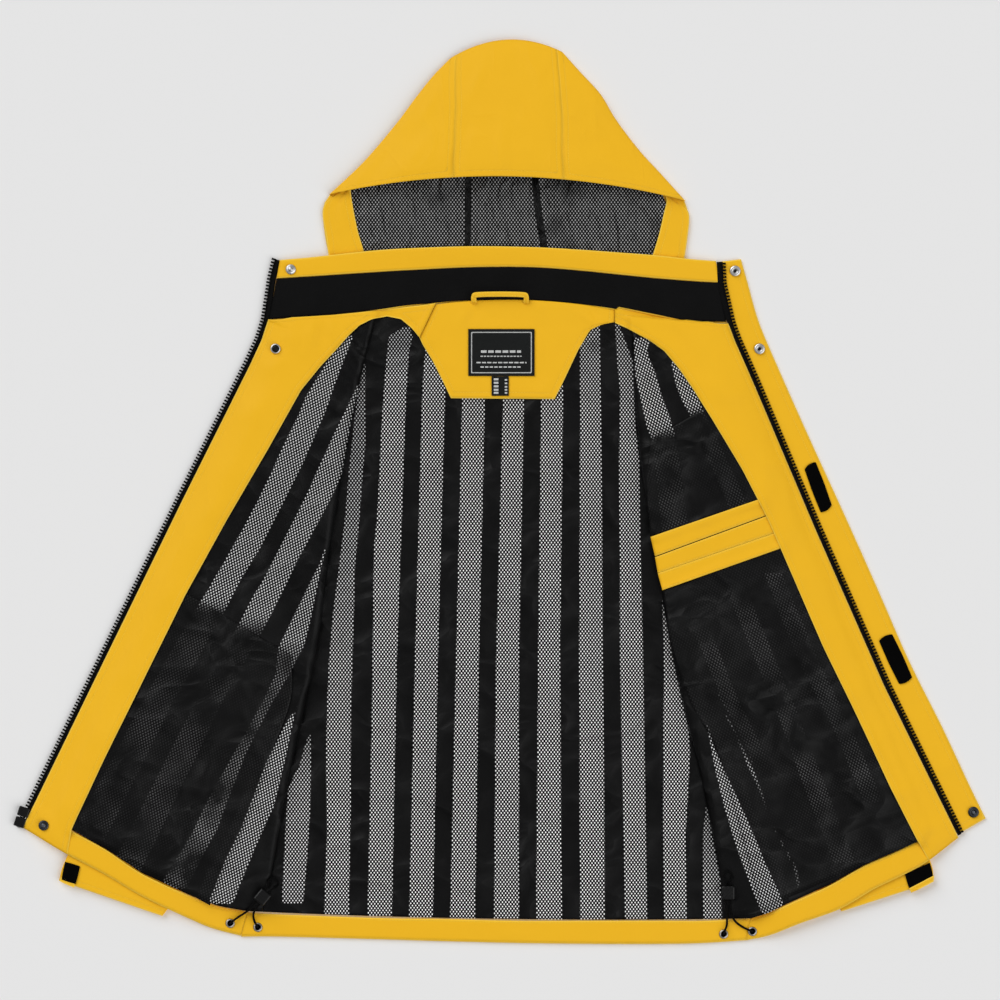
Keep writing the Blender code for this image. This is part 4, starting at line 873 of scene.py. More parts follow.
CUFF_PATCH = {"left": ((-482, -426), (-466, -431), (-461, -411), (-478, -406)),
              "right": ((449.2, -435.6), (476, -421.6), (472.5, -407), (444.6, -420))}
CUFF_TAB = {"left": ((-483.5, -428), (-467.5, -435), (-467, -430), (-483, -423)),
            "right": ((452, -441), (476.5, -428), (477, -421), (449, -435.5))}
print("sleeves:", len(SLEEVE_LEFT), "sections each")


# %% sleeves, patches and tabs
SIDE_ROUND, TOP_FLAT = 0.75, 0.32    # powers that turn a circle into a flattened tube
STITCH_STEP = 3.0                    # mm between two points round a sleeve


def sleeve_ring(middle, unit, half, height, around):
    """A long flat ring: round at both ends, flat above and below."""
    ring = []
    radius = height / 2
    for i in range(around):
        angle = 2 * math.pi * i / around
        cosine, sine = math.cos(angle), math.sin(angle)
        along = math.copysign(abs(cosine) ** SIDE_ROUND, cosine) * half
        up = math.copysign(abs(sine) ** TOP_FLAT, sine) * radius
        ring.append((*(middle + unit * along), radius + up))
    return ring


def make_sleeve(side, table_rows):
    rows, around = resample(table_rows, 60), 64
    rings = []
    for row in rows:
        crown, arm = np.array([row.crown_x, row.crown_y]), np.array([row.arm_x, row.arm_y])
        half = np.linalg.norm(arm - crown) / 2
        rings.append(sleeve_ring((crown + arm) / 2, (arm - crown) / (2 * half), half, row.height, around))
    points = np.array(rings)
    top = points[:, :around // 2 + 1]
    TOPS[f"sleeve_{side}"] = BVHTree.FromPolygons([Vector(p) for p in top.reshape(-1, 3)],
                                                  grid_faces(len(rows), around // 2 + 1))
    mesh = bpy.data.meshes.new(f"sleeve_{side}_cloth")
    faces = grid_faces(len(rows), around, ring=True)
    mesh.from_pydata((points.reshape(-1, 3) * MM).tolist(), [], faces)
    mesh.update()
    if sum(face.normal.z * face.center.z for face in mesh.polygons) < 0:
        mesh.flip_normals()
    mesh.polygons.foreach_set("use_smooth", [True] * len(faces))
    up = lengths(points, 0)
    set_maps(mesh, {"edge": (np.abs(up[-1:] - up), np.cumsum(np.ones_like(up), axis=1) * STITCH_STEP)})
    thing = bpy.data.objects.new(f"sleeve_{side}_cloth", mesh)
    solid = thing.modifiers.new("wall", "SOLIDIFY")
    solid.thickness = WALL * MM
    solid.offset = -1.0
    finish_piece(thing, f"sleeve_{side}", SHELL_CLOTH)


def make_sleeves():
    for side, rows in (("left", SLEEVE_LEFT), ("right", SLEEVE_RIGHT)):
        make_sleeve(side, rows)
        for name, corners, cloth, slot in (
                (f"cuff_patch_{side}", CUFF_PATCH[side], HOOK_CLOTH, "black_trim"),
                (f"cuff_tab_{side}", CUFF_TAB[side], TAB_CLOTH, "yellow_shell")):
            plan = rounded_plan(corners, 13, 17, 0.4)
            points = laid_on(plan, [f"sleeve_{side}"], LINING, gap=0.5, floor=2.0)
            lay(name, points, cloth, slot, [f"sleeve_{side}"], edges="left right bottom top")
    print("sleeves: two tubes, two patches, two tabs")


make_sleeves()


# %% [markdown]
# ## Fronts
# Each front is folded over so its edge rolls down onto the back. The section starts flat at the
# zip, climbs over the sleeve and ends in the roll. Shell and lining share the section; the lining
# is set off by the shell's wall.

# %% fronts and hem: the cut
# hem to neckline: zip edge, folded edge, sag of the section between them,
# height of the cloth over the sleeve, height of the rolled edge
FRONT_LEFT = table(
    "zip_x zip_y fold_x fold_y bow plateau roll",
    (-510, -342, -260, -454, 23.1, 7.2, 3.4),
    (-477, -274, -246, -394, 15.4, 7.6, 7.5),
    (-440, -196, -231, -311, 8.8, 7.8, 10),
    (-402, -117, -212, -229, 4.4, 8, 11.5),
    (-363, -37, -199, -163, 0, 8.6, 12),
    (-330, 31, -190, -91, 0, 9.4, 12),
    (-301, 88, -180, -20, 0, 9.4, 11.5),
    (-275, 139, -165, 70, 0, 8.5, 10),
    (-262, 167, -152, 129, 0, 6, 7.5),
    (-255, 186.5, -136, 195.5, 0, 4, 4.5),
)

FRONT_RIGHT = table(
    "zip_x zip_y fold_x fold_y bow plateau roll",
    (488, -351, 250, -455, 24.2, 7.2, 3.4),
    (457, -284, 238, -394, 15.4, 7.6, 7),
    (422, -213, 223, -322, 8.8, 7.8, 9),
    (387, -132, 206, -256, 4.4, 8, 10.5),
    (352, -53, 187, -168, 0, 8.6, 11),
    (321, 20, 174, -91, 0, 9.4, 11.5),
    (292, 87, 157, 13, 0, 9.4, 11),
    (271, 136, 150, 79, 0, 8.5, 9.5),
    (258, 165, 147, 129, 0, 6, 7.5),
    (251, 183, 144, 189.5, 1.5, 4, 4.5),
)

# hem, left to right in three pieces: lower edge and stitched edge
HEM_LEFT = table(
    "low_x low_y in_x in_y",
    (-524, -369, -510, -343),
    (-501, -383, -490, -359),
    (-475, -398, -468, -373),
    (-432, -421, -432, -393),
    (-393, -444, -393, -419),
    (-341, -469, -339, -444),
    (-315, -480, -310, -455),
    (-285, -488, -278, -461),
)

HEM_BACK = table(
    "low_x low_y in_x in_y",
    (-284, -489, -277, -462),
    (-242, -489, -242, -464),
    (-130, -492, -130, -468),
    (-62, -494, -62, -469),
    (21, -496, 21, -471),
    (112, -497, 112, -471),
    (180, -497, 180, -471),
    (224, -496, 224, -471),
    (270, -493, 274, -469),
)

HEM_RIGHT = table(
    "low_x low_y in_x in_y",
    (271, -493, 275, -469),
    (297, -487, 294, -463),
    (329, -474, 317, -452),
    (373, -458, 361, -432),
    (411, -436, 400, -410),
    (444, -420, 436, -394),
    (471, -405, 459, -381),
    (503, -380, 490, -352),
)
print("fronts:", len(FRONT_LEFT), "sections each")

# %% fronts: net stripes
LEFT_STRIPES = [
    stripe([(338, 342), (397, 306), (413, 300), (439, 287), (468, 274), (500, 259), (551, 231),
            (592, 207), (620, 190), (700, 144), (840, 70)],
           [(338, 353), (365, 342.5), (388, 334), (409, 327), (461, 304.5), (500, 285), (551, 259),
            (575, 244), (611, 225.5), (700, 175), (850, 100)], [(600, 0.95), (612, 0.06)]),
    stripe([(385, 358), (412, 345), (444, 330), (468, 319), (500, 304.6), (527, 291), (574, 267),
            (599, 252), (623, 240), (700, 197), (880, 105)],
           [(386, 359), (416, 353), (444, 347), (471, 343), (487, 337), (503, 329), (524, 318),
            (560, 298), (594, 282), (618, 270), (636, 260), (700, 224), (890, 132)],
           [(615, 0.95), (630, 0.08)]),
    stripe([(547, 326), (566, 319), (586, 309), (614, 295), (646, 279), (674, 276), (700, 264),
            (754, 234), (780, 219), (807, 205), (834, 192), (886, 160)],
           [(547, 327), (566, 322), (591, 317), (620, 311), (646, 304.5), (655, 299), (674, 290),
            (700, 274), (754, 246), (780, 236), (814, 223), (827, 219), (855, 203), (886, 188)],
           [(640, 0.9), (655, 0.4)]),
    stripe([(704, 298), (729, 283), (764, 266), (791, 256), (827, 242), (861, 225.5), (901, 209.5)],
           [(704, 298), (727, 292.5), (758, 286), (787, 279), (807, 274), (837, 260), (861, 250),
            (885, 240), (908, 232)], [(700, 1.0)]),
]
RIGHT_STRIPES = [
    stripe([(340, 633.5), (346, 634), (376, 635), (402, 641), (430, 647), (440, 652)],
           [(340, 650), (353, 647), (373, 655), (395, 661), (419, 670), (426.5, 672), (440, 676)],
           [(425, 1.0), (440, 0.3)]),
    stripe([(363, 671), (385, 675.5), (402, 682), (414, 689), (480, 716), (540, 742)],
           [(356, 672), (385, 692), (407, 701), (480, 736), (540, 760)], [(405, 1.0), (420, 0.06)]),
    stripe([(440, 652), (560, 664)], [(440, 676), (560, 692)], [(440, 0.08)]),
    stripe([(715.5, 704.5), (769, 714.5), (809, 724.5), (853, 738), (887, 751), (911, 761)],
           [(715.5, 704.5), (744.5, 713), (771, 724.5), (800, 738), (829, 751), (862, 764.5), (880, 773),
            (902, 783)], [(718, 0.9), (760, 1.0)]),
    stripe([(695, 716), (737, 735), (765, 747), (791, 759), (824, 771), (867, 793), (889, 797)],
           [(695, 717), (737, 737), (765, 751), (791, 762), (824, 772.5), (867, 796), (889, 800)],
           [(695, 0.6), (780, 0.7), (800, 0.3), (880, 0.6)]),
    stripe([(585, 724), (710, 775), (773, 798), (860, 832)], [(585, 744), (710, 796), (773, 820), (860, 854)],
           [(585, 0.0), (610, 0.06), (680, 0.10), (800, 0.07), (850, 0.03)]),
    stripe([(575, 764), (660, 797), (727, 832), (800, 862)], [(575, 782), (660, 818), (727, 850), (800, 882)],
           [(575, 0.1), (600, 0.05), (700, 0.06), (780, 0.10), (800, 0.05)]),
    stripe([(620, 688), (700, 722), (760, 752)], [(620, 706), (700, 738), (760, 768)],
           [(620, 0.0), (650, 0.07), (740, 0.05), (760, 0.0)]),
]
print("front stripes:", len(LEFT_STRIPES), "and", len(RIGHT_STRIPES))

# %% fronts: the folded section
ZIP_RISE = 42.0            # across a front, from the zip edge up to the level over the sleeve
ROLL_FALL = 34.0           # from that level to the rolled edge
ROLL_RADIUS = 7.0
FRONT_SHARES = np.linspace(0, 1, 52)
ROLL_TURNS = np.linspace(9, 90, 10)


def section_offset(polyline, distance):
    """A section's polyline moved out by a distance, to its upper or outer side."""
    polyline = np.asarray(polyline, float)
    steps = np.diff(polyline, axis=0)
    steps /= np.linalg.norm(steps, axis=1)[:, None]
    sides = np.stack([-steps[:, 1], steps[:, 0]], axis=1)
    middle = sides[:-1] + sides[1:]
    middle /= np.linalg.norm(middle, axis=1)[:, None]
    reach = distance / np.maximum(0.5, (middle * sides[1:]).sum(axis=1))
    moved = polyline.copy()
    moved[0] += sides[0] * distance
    moved[-1] += sides[-1] * distance
    moved[1:-1] += middle * reach[:, None]
    return moved


def front_section(row):
    """Underside of a front across one section: distance from the zip edge, and height."""
    width = math.hypot(row.fold_x - row.zip_x, row.fold_y - row.zip_y) - LINING_TOP
    back_level = LINING_TOP + GAP
    radius = min(max(0.5, row.roll - back_level), ROLL_RADIUS)
    flat = width - radius
    s = FRONT_SHARES * flat
    level = row.plateau * smoothstep(s / ZIP_RISE)
    level = level + (row.roll - row.plateau) * smoothstep((s - flat + ROLL_FALL) / ROLL_FALL)
    section = list(zip(s, level))
    top = section[-1][1]
    for turn in np.radians(ROLL_TURNS):
        section.append((flat + radius * math.sin(turn), top - radius * (1 - math.cos(turn))))
    down_to = back_level if top - radius > back_level + 0.2 else section[-1][1] - 0.2
    section.append((flat + radius, down_to))
    return section


def hem_pull(side, x, y):
    """How far a front's lowest row moves to meet its hem's inner edge."""
    edge = sorted((row.in_x, row.in_y) for row in (HEM_LEFT if side == "left" else HEM_RIGHT))
    return float(np.interp(x, [p[0] for p in edge], [p[1] for p in edge])) + 2 * GAP - y


FRONT_ROWS = 120
HEM_PULL_ROWS = 35         # rows of a front over which it is drawn down to its hem


def front_points(rows, offset, side, first_column=0):
    """A front's points, moved out from its section by an offset."""
    grid = []
    pulls = None
    for number, row in enumerate(rows):
        section = section_offset(front_section(row), offset)[first_column:]
        width = math.hypot(row.fold_x - row.zip_x, row.fold_y - row.zip_y)
        f = section[:, 0] / width
        x = row.zip_x + (row.fold_x - row.zip_x) * f
        y = row.zip_y + (row.fold_y - row.zip_y) * f - row.bow * 4 * f * (1 - f)
        z = np.maximum(section[:, 1], offset)
        if pulls is None:
            pulls = np.array([hem_pull(side, a, b) for a, b in zip(x, y)])
        fade = 1 - smoothstep(number / HEM_PULL_ROWS)
        grid.append(np.stack([x, y + pulls * fade, z], axis=1))
    return np.array(grid)


# %% fronts: shell and lining
LINING_COLUMN = 5          # the lining begins this many columns in from the zip
FRONT_CREASES = {
    "left": [(356, 318, 372, 352, 3, 1.6), (364, 314, 376, 334, 2.5, 1.2), (352, 330, 368, 366, 3, -1.2),
             (348, 342, 366, 372, 3, 1.4), (342, 362, 360, 388, 2.6, 1.3), (338, 372, 354, 400, 3, -1.0),
             (330, 392, 348, 430, 5, 1.0), (318, 430, 345, 470, 7, 0.9), (300, 520, 336, 560, 8, -0.8),
             (285, 560, 322, 610, 8, 1.0), (268, 470, 300, 560, 9, 0.8), (240, 560, 262, 640, 9, -0.7),
             (300, 640, 318, 700, 6, 1.0), (262, 690, 300, 760, 9, 0.8), (215, 640, 240, 720, 12, 0.9),
             (170, 700, 215, 790, 12, -0.8), (150, 760, 190, 850, 12, 0.9), (238, 800, 262, 880, 9, 0.9),
             (205, 830, 238, 900, 9, -0.7), (120, 770, 150, 850, 10, 0.7)],
    "right": [(640, 345, 668, 420, 5, 1.3), (652, 350, 690, 400, 5, -1.0), (648, 420, 655, 480, 5, 1.0),
              (700, 470, 740, 500, 8, 0.6), (655, 600, 690, 700, 6, 1.2), (690, 620, 740, 760, 10, 0.9),
              (740, 620, 790, 700, 12, -0.8), (700, 740, 720, 840, 6, 1.0), (770, 690, 820, 800, 12, 0.9),
              (820, 740, 860, 850, 12, -0.8), (745, 800, 775, 890, 9, 0.9), (800, 640, 830, 720, 9, 0.7)],
}


def make_fronts():
    for side, table_rows, stripes, turn in (("left", FRONT_LEFT, LEFT_STRIPES, -27.0),
                                            ("right", FRONT_RIGHT, RIGHT_STRIPES, 20.0)):
        rows = snap_to_zip(resample(table_rows, FRONT_ROWS), side, "zip")
        flat_lining = front_points(rows, LINING_TOP, side, LINING_COLUMN)
        lining = press(ruffle(flat_lining, 34.0, 1.5, 11.0 + turn, 26.0), FRONT_CREASES[side], 1.7)
        shell = front_points(rows, SHELL, side)
        shell[:, LINING_COLUMN:, 2] += np.minimum(lining - flat_lining, 0.0)[..., 2]
        lay(f"front_shell_{side}", shell, SHELL_CLOTH, "yellow_shell", ["back_lining", f"sleeve_{side}"],
            edges="left")
        lay(f"front_lining_{side}", lining, FRONT_LINING_CLOTH, "black_lining",
            [f"front_shell_{side}"], stripes=stripes, turn=turn)
    print("fronts: two shells, two linings")


make_fronts()

# %% [markdown]
# ## Hem
# The hem is the shell turned up and stitched down. Its three lengths meet at the side seams, and the
# outer two climb over the sleeves' ends.

# %% hem
HEM_WALL = 2.4
HEM_LIFT = 7.2             # the hem under a front lies over the sleeve's end
SEAM_REACH = 0.9           # the middle length runs this far into the outer two
HEM_ROUND = 0.9            # how far the lower edge rounds down


def make_hem():
    # climb and descent: mm along the hem over which it goes up over a sleeve's end and down again
    for name, rows, count, climb, descent in (("hem_left", HEM_LEFT, 90, 45, 95),
                                              ("hem_back", HEM_BACK, 140, 0, 0),
                                              ("hem_right", HEM_RIGHT, 90, 60, 62)):
        rows = resample(rows, count)
        if name == "hem_back":
            for row, push in ((rows[0], -SEAM_REACH), (rows[-1], SEAM_REACH)):
                row.low_x, row.in_x = row.low_x + push, row.in_x + push
        plan = ruled_plan(rows, "low", "in", np.linspace(0, 0.985, 9))
        heights = np.full(plan.shape[:2], HEM_WALL)
        if climb:
            along = lengths(np.dstack([plan, heights]), 0)[:, :1]
            heights = heights + (HEM_LIFT * smoothstep(along / climb)
                                 * smoothstep((along[-1] - along) / descent))
        heights[:, 0] -= HEM_ROUND
        points = ruffle(np.dstack([plan, heights]), 30.0, 0.35, len(name) + climb)
        lay(name, points, HEM_CLOTH, "yellow_shell", ["back_shell"], edges="right left", wall=1.2)
    print("hem: three bands")


make_hem()


# %% [markdown]
# ## Pockets, facings, flap and zip
# The pocket bags are sewn to the lining side of the fronts and hang toward the hem. The facing
# covers the front edge and its seam with the lining. On the viewer's right the storm flap lies
# outside the zip; on the left the tape carries the slider.

# %% pockets: the cut
# pocket bags, top to bottom: edge under the facing and edge toward the fold
BAG_LEFT = table(
    "out_x out_y in_x in_y",
    (-345, -110, -229, -179),
    (-365, -152, -230, -229),
    (-404, -222, -255, -297),
    (-429, -277, -277, -355),
    (-460, -339, -302, -410),
    (-470, -365, -317, -450),
)

BAG_UPPER = table(
    "out_x out_y in_x in_y",
    (227, 94, 165, 57),
    (256, 46, 161, 8),
    (287, -10, 165, -52),
)

BAG_LOWER = table(
    "out_x out_y in_x in_y",
    (310, -59, 179, -107),
    (336, -119, 189, -172),
    (366, -189, 209, -229),
    (399, -255, 238, -284),
    (432, -324, 262, -361),
    (459, -377, 286, -452),
)

# the four lines that bound the three welts, top to bottom
WELTS = table(
    "right_x right_y left_x left_y",
    (283, -7, 165, -49),
    (292, -25, 170, -71),
    (301, -44, 173, -89),
    (308, -61, 178, -108),
)
print("welts:", len(WELTS) - 1)

# %% pockets
TUCK = 3.0                 # how far one piece runs in under another's edge
WELT_SLITS = ((0.3, 0.5), (0.5, 0.1), (0.1, 0.3))    # dark slit above and below each welt, in mm
BAG_FOLDS = {
    "bag_left": [(190, 610, 232, 652, 4, 1.6), (232, 652, 250, 700, 4, 1.4), (238, 700, 262, 760, 4, 1.8),
                 (160, 700, 215, 690, 5, 1.4), (120, 790, 190, 812, 5, 1.5), (208, 808, 248, 848, 4, 2.0),
                 (215, 730, 200, 800, 5, 1.2), (270, 690, 296, 664, 4, 1.2), (250, 640, 300, 655, 4, 1.2)],
    "bag_upper": [(668, 440, 700, 520, 5, 1.3), (700, 430, 726, 500, 4, 1.2), (660, 470, 690, 512, 4, 1.0)],
    "bag_lower": [(700, 690, 752, 704, 5, 2.0), (752, 704, 800, 690, 5, 1.8), (800, 740, 862, 748, 4, 1.8),
                  (740, 650, 790, 640, 6, 1.2), (700, 620, 770, 612, 6, 1.0), (820, 770, 880, 776, 4, 1.4),
                  (770, 820, 850, 836, 5, 1.4), (690, 640, 700, 700, 5, 1.2), (840, 790, 882, 812, 4, 1.2)],
}
BAG_REACH = {"bag_left": 4.0, "bag_upper": 0.0, "bag_lower": 6.0}   # down to the turned-up hem


def make_pockets():
    for name, rows, side, count, stripes, turn in (
            ("bag_left", BAG_LEFT, "left", 100, LEFT_STRIPES, -27.0),
            ("bag_upper", BAG_UPPER, "right", 44, RIGHT_STRIPES, 20.0),
            ("bag_lower", BAG_LOWER, "right", 110, RIGHT_STRIPES, 20.0)):
        rows = resample(rows, count)
        run_on(rows, BAG_REACH[name])
        plan = ruled_plan(rows, "out", "in", np.linspace(0, 1, 60))
        points = laid_on(plan, [f"front_lining_{side}", f"front_shell_{side}"], LINING, reach=3.0)
        points = press(ruffle(points, 26.0, 1.4, 20.0 + turn, 16.0), BAG_FOLDS[name])
        lay(name, points, BAG_CLOTH, "black_lining", [f"front_lining_{side}"], stripes=stripes, turn=turn,
            edges="left right bottom top")
    for number, (above, below) in enumerate(WELT_SLITS):
        upper, lower = WELTS[number], WELTS[number + 1]
        corners = [(lower.left_x, lower.left_y + below), (lower.right_x + TUCK, lower.right_y + below),
                   (upper.right_x + TUCK, upper.right_y - above), (upper.left_x, upper.left_y - above)]
        plan = corner_plan(corners, 9, 50)
        carriers = ["front_lining_right", "front_shell_right", "bag_upper", "bag_lower"]
        points = laid_on(plan, carriers, LINING, gap=0.5, reach=3.0)
        lay(f"welt_{number + 1}", points, WELT_CLOTH, "yellow_shell", ["front_lining_right"],
            edges="bottom top")
    print("pockets: three bags, three welts")


make_pockets()


# %% [markdown]
# ## Collar
# The collar stands in two walls and lies flat here: outer cloth below, a black band above it, and
# the outer turned in along the top. All three share one foot line and one top line.

# %% collar
# left to right: foot seam, the line where the band ends, top edge
COLLAR = table(
    "foot_x foot_y turn_x turn_y top_x top_y foot_z top_z",
    (-254, 188, -247, 235, -242, 255, 0, 0.5),
    (-209, 191, -207, 237, -207, 258, 2.4, 3.4),
    (-162, 195, -162, 240, -162, 263, 4.6, 4.9),
    (-130, 199, -130, 242, -130, 266, 4.4, 4.9),
    (-95, 204, -95, 244, -95, 268, 1.4, 4.9),
    (-31, 209, -31, 247, -31, 270, 0, 4.9),
    (36, 209, 36, 247, 36, 269, 0, 4.9),
    (91, 208, 91, 243, 91, 266, 1, 4.9),
    (128, 202, 130, 239, 132, 263, 4.0, 4.9),
    (167, 194, 169, 235, 172, 260, 4.6, 4.9),
    (209, 186, 209, 232, 209, 256, 2.4, 3.4),
    (249, 185, 239.6, 230, 237.4, 254, 0, 0.5),
)
COLLAR_FOOT = 0.012        # shares of the collar from foot to top
BAND_FOOT = 0.03
COLLAR_SEAM = 0.004
BACK_NECK = (-84, 128)     # x from and to, where the collar's foot follows the back's neckline
BAND_CREASES = [(290, 285, 330, 312, 8, 0.7), (390, 276, 402, 305, 7, 0.6), (455, 272, 462, 298, 8, -0.5),
                (560, 272, 556, 300, 8, 0.6), (640, 282, 630, 312, 8, 0.7), (690, 286, 700, 318, 8, -0.6)]


def make_collar():
    rows = resample(COLLAR, 110)
    neckline = ruled_plan([BACK[-1]], "left", "right", np.linspace(0, 1, 60))[0]
    for row in rows:
        if BACK_NECK[0] < row.foot_x < BACK_NECK[1]:
            neck_y = float(np.interp(row.foot_x, neckline[:, 0], neckline[:, 1]))
            row.foot_y = min(row.foot_y, neck_y + 0.4)
    foot = np.stack([column(rows, "foot_x"), column(rows, "foot_y"), column(rows, "foot_z")], axis=1)
    top = np.stack([column(rows, "top_x"), column(rows, "top_y"), column(rows, "top_z")], axis=1)
    turn = np.stack([column(rows, "turn_x"), column(rows, "turn_y")], axis=1)
    share = np.linalg.norm(turn - foot[:, :2], axis=1) / np.linalg.norm((top - foot)[:, :2], axis=1)

    def part(name, start, end, lift, count, cloth, slot, rests, **more):
        f = start[:, None] + (end - start)[:, None] * np.linspace(0, 1, count)
        points = foot[:, None] + (top - foot)[:, None] * f[..., None]
        points[..., 2] = foot[:, None, 2] + (top - foot)[:, None, 2] * smoothstep(f) + lift
        points = ruffle(points, 34.0, 0.5, float(count), 9.0)
        return lay(name, points, cloth, slot, rests, **more)

    ones = np.ones(len(rows))
    part("collar_outer", COLLAR_FOOT * ones, ones, SHELL, 12, SHELL_CLOTH, "yellow_shell", [])
    part("collar_band", BAND_FOOT * ones, share - COLLAR_SEAM, LINING_TOP, 16, BAND_CLOTH, "black_band",
         ["collar_outer"], crease=BAND_CREASES)
    part("collar_top", share + COLLAR_SEAM, ones, LINING_TOP, 8, COLLAR_CLOTH, "yellow_shell",
         ["collar_outer"], edges="left right")
    print("collar: outer, band and turned top")


make_collar()

# %% [markdown]
# ## Facings
# The facing covers the front edge and its seam with the lining; a third one covers the back of the
# neck. They are laid last on the coat's body and creased where it was folded.

# %% facings: the cut
# back neck, neckline down
NECK_FACING = table(
    "left_x left_y right_x right_y bow",
    (-72, 206, 127.5, 200, -8),
    (-77, 196, 127.5, 193.5, -4),
    (-83, 184, 127, 187, -1),
    (-89, 171, 112, 184, 0),
    (-85, 162, 99, 178, 0),
    (-74, 144, 86, 156, 0),
    (-63, 122, 70, 122, 0),
    (-54, 103, 60, 102, 0),
)

# fronts: the edge along hem, zip and neck, and the inner edge
FACING_LEFT = table(
    "out_x out_y in_x in_y",
    (-524, -369, -475, -398),
    (-509, -340, -470, -370),
    (-471, -260, -436, -297),
    (-427, -169, -389, -202),
    (-383, -78, -344, -111),
    (-339, 13, -301, -33),
    (-301, 86, -255, 46),
    (-275, 139, -218, 112),
    (-262, 167, -196, 139),
    (-255, 189, -180, 156),
    (-220, 191, -166, 172),
    (-185, 193, -154, 183),
    (-154, 196, -140, 190),
    (-129, 199, -124, 193),
    (-105, 202, -109, 190),
    (-87, 204, -97, 180),
    (-72.4, 206, -89.6, 171),
)

FACING_RIGHT = table(
    "out_x out_y in_x in_y",
    (503, -380, 471, -405),
    (491, -353, 457, -381),
    (460, -292, 429, -326),
    (422, -213, 393, -249),
    (387, -132, 354, -169),
    (352, -53, 319, -88),
    (327, 6, 295, -33),
    (299, 70, 266, 24),
    (276, 123, 233, 79),
    (265, 151, 211, 114),
    (256, 172, 196, 136),
    (251, 185, 180, 155),
    (222, 185, 163, 167),
    (189, 189, 150, 174),
    (160, 195, 139, 180),
    (128, 200, 128, 185),
)
print("facings:", len(FACING_LEFT), "and", len(FACING_RIGHT), "sections")

# %% facings
FACING_REACH = 1.8         # mm that a facing runs on past its last section
FACING_SINK = 0.9          # mm that its inner corner sinks toward the hem
NECK_PUSH = {"left": 1.3, "right": 2.4}    # mm that its neck edge moves up toward the collar
UNDER_FACING = {"left": ["bag_left"], "right": ["bag_upper", "bag_lower", "welt_1", "welt_2", "welt_3"]}
NECK_CREASES = [(590, 306, 600, 322, 4, -1.2), (541, 303, 541, 311, 3, 0.8), (580, 312, 596, 326, 4, 1.1),
                (470, 386, 540, 392, 8, 0.5), (480, 303, 466, 332, 7, -1.2), (470, 302, 458, 330, 6, 0.9),
                (474, 378, 482, 398, 6, -0.8), (440, 340, 452, 380, 7, 0.6), (556, 340, 548, 386, 7, 0.6)]
FACING_CREASES = {
    "left": [(313, 326, 309, 356, 5, 1.5), (322, 322, 322, 346, 4, -1.2), (330, 320, 336, 340, 5, 1.3),
             (262, 372, 284, 362, 7, 1.1), (256, 345, 266, 366, 8, 0.9), (235, 420, 262, 405, 9, 0.9),
             (200, 520, 232, 505, 9, 1.0), (160, 600, 190, 590, 8, 0.9), (120, 680, 150, 668, 9, 1.0),
             (95, 740, 115, 728, 8, 0.9), (60, 800, 84, 812, 9, 1.1)],
    "right": [(640, 322, 660, 345, 6, 1.3), (668, 330, 690, 352, 6, -1.0), (720, 400, 745, 392, 8, 1.0),
              (760, 470, 786, 462, 9, 1.0), (800, 640, 850, 628, 9, 1.1), (830, 700, 872, 690, 8, 1.0),
              (880, 800, 920, 786, 8, 1.2), (905, 840, 940, 822, 8, 1.3), (735, 350, 752, 372, 7, 0.9)],
}


def make_facings():
    plan = ruled_plan(resample(NECK_FACING, 40, smooth=False), "left", "right", np.linspace(0, 1, 60))
    points = laid_on(plan, ["back_lining"], LINING, floor=LINING_Z)
    points = ruffle(points, 40.0, 0.8, 5.0)
    lay("neck_facing", points, FACING_CLOTH, "yellow_shell", ["back_lining"], edges="left right top",
        crease=NECK_CREASES)
    for side, rows in (("left", FACING_LEFT), ("right", FACING_RIGHT)):
        carriers = [f"front_shell_{side}", f"front_lining_{side}", f"hem_{side}", "back_lining",
                    "neck_facing"] + UNDER_FACING[side]
        rows = snap_to_zip(resample(rows, 150, smooth=False), side, "out")
        for row in rows:
            if row.out_y > 170:
                row.out_y += NECK_PUSH[side] * float(smoothstep((240 - abs(row.out_x)) / 12))
        run_on(rows, FACING_REACH)
        plan = ruled_plan(rows, "out", "in", np.linspace(0, 1, 16))
        points = laid_on(plan, carriers, LINING, gap=0.5, reach=3.5, floor=LINING_Z)
        points = ruffle(points, 60.0, 0.9, 31.0)
        points[:3, :, 2] -= np.array([1.2, 0.8, 0.3])[:, None]
        sunk = smoothstep((7.5 - np.arange(len(points))) / 2)[:, None]
        points[..., 2] -= FACING_SINK * sunk * smoothstep((np.arange(16) - 11) / 4)
        lay(f"facing_{side}", points, FACING_CLOTH, "yellow_shell", [f"front_shell_{side}"],
            edges="left right", crease=FACING_CREASES[side])
    print("facings: neck, left, right")


make_facings()


# %% [markdown]
# ## Storm flap and zip
# The flap is a double strip outside the zip, with two hook patches. The zip is a tape with moulded
# teeth: one block for each tooth, all of one side in a single mesh, since a texture would lose the
# row of steps against the floor.

# %% flap and zip: the cut
# top to hem: edge along the zip and free edge
STORM_FLAP = table(
    "in_x in_y out_x out_y",
    (240, 253, 265, 256),
    (241, 229, 272, 231),
    (252, 185, 285, 186),
    (277, 123, 307, 134),
    (310, 44, 339, 62),
    (346, -40, 377, -21),
    (385, -127, 415, -106),
    (423, -213, 450, -186),
    (458, -286, 486, -258),
    (488, -348, 515, -320),
    (505, -377, 534, -359),
)

PATCH_UPPER = ((352.6, -23.1), (365.2, -14.9), (347.1, 33.6), (334.4, 25.3))
PATCH_LOWER = ((438.9, -211.9), (453.6, -204.1), (431.2, -155.7), (416.2, -163.4))
TAPE_START = {"left": -366.0, "right": -378.0}   # the left tape runs on under the slider
PATCH_GROWS = 1.3          # mm that each corner moves out before it is rounded
FLAP_WALL = 1.6
TAPE_WALL = 1.2
print("flap:", len(STORM_FLAP), "sections")

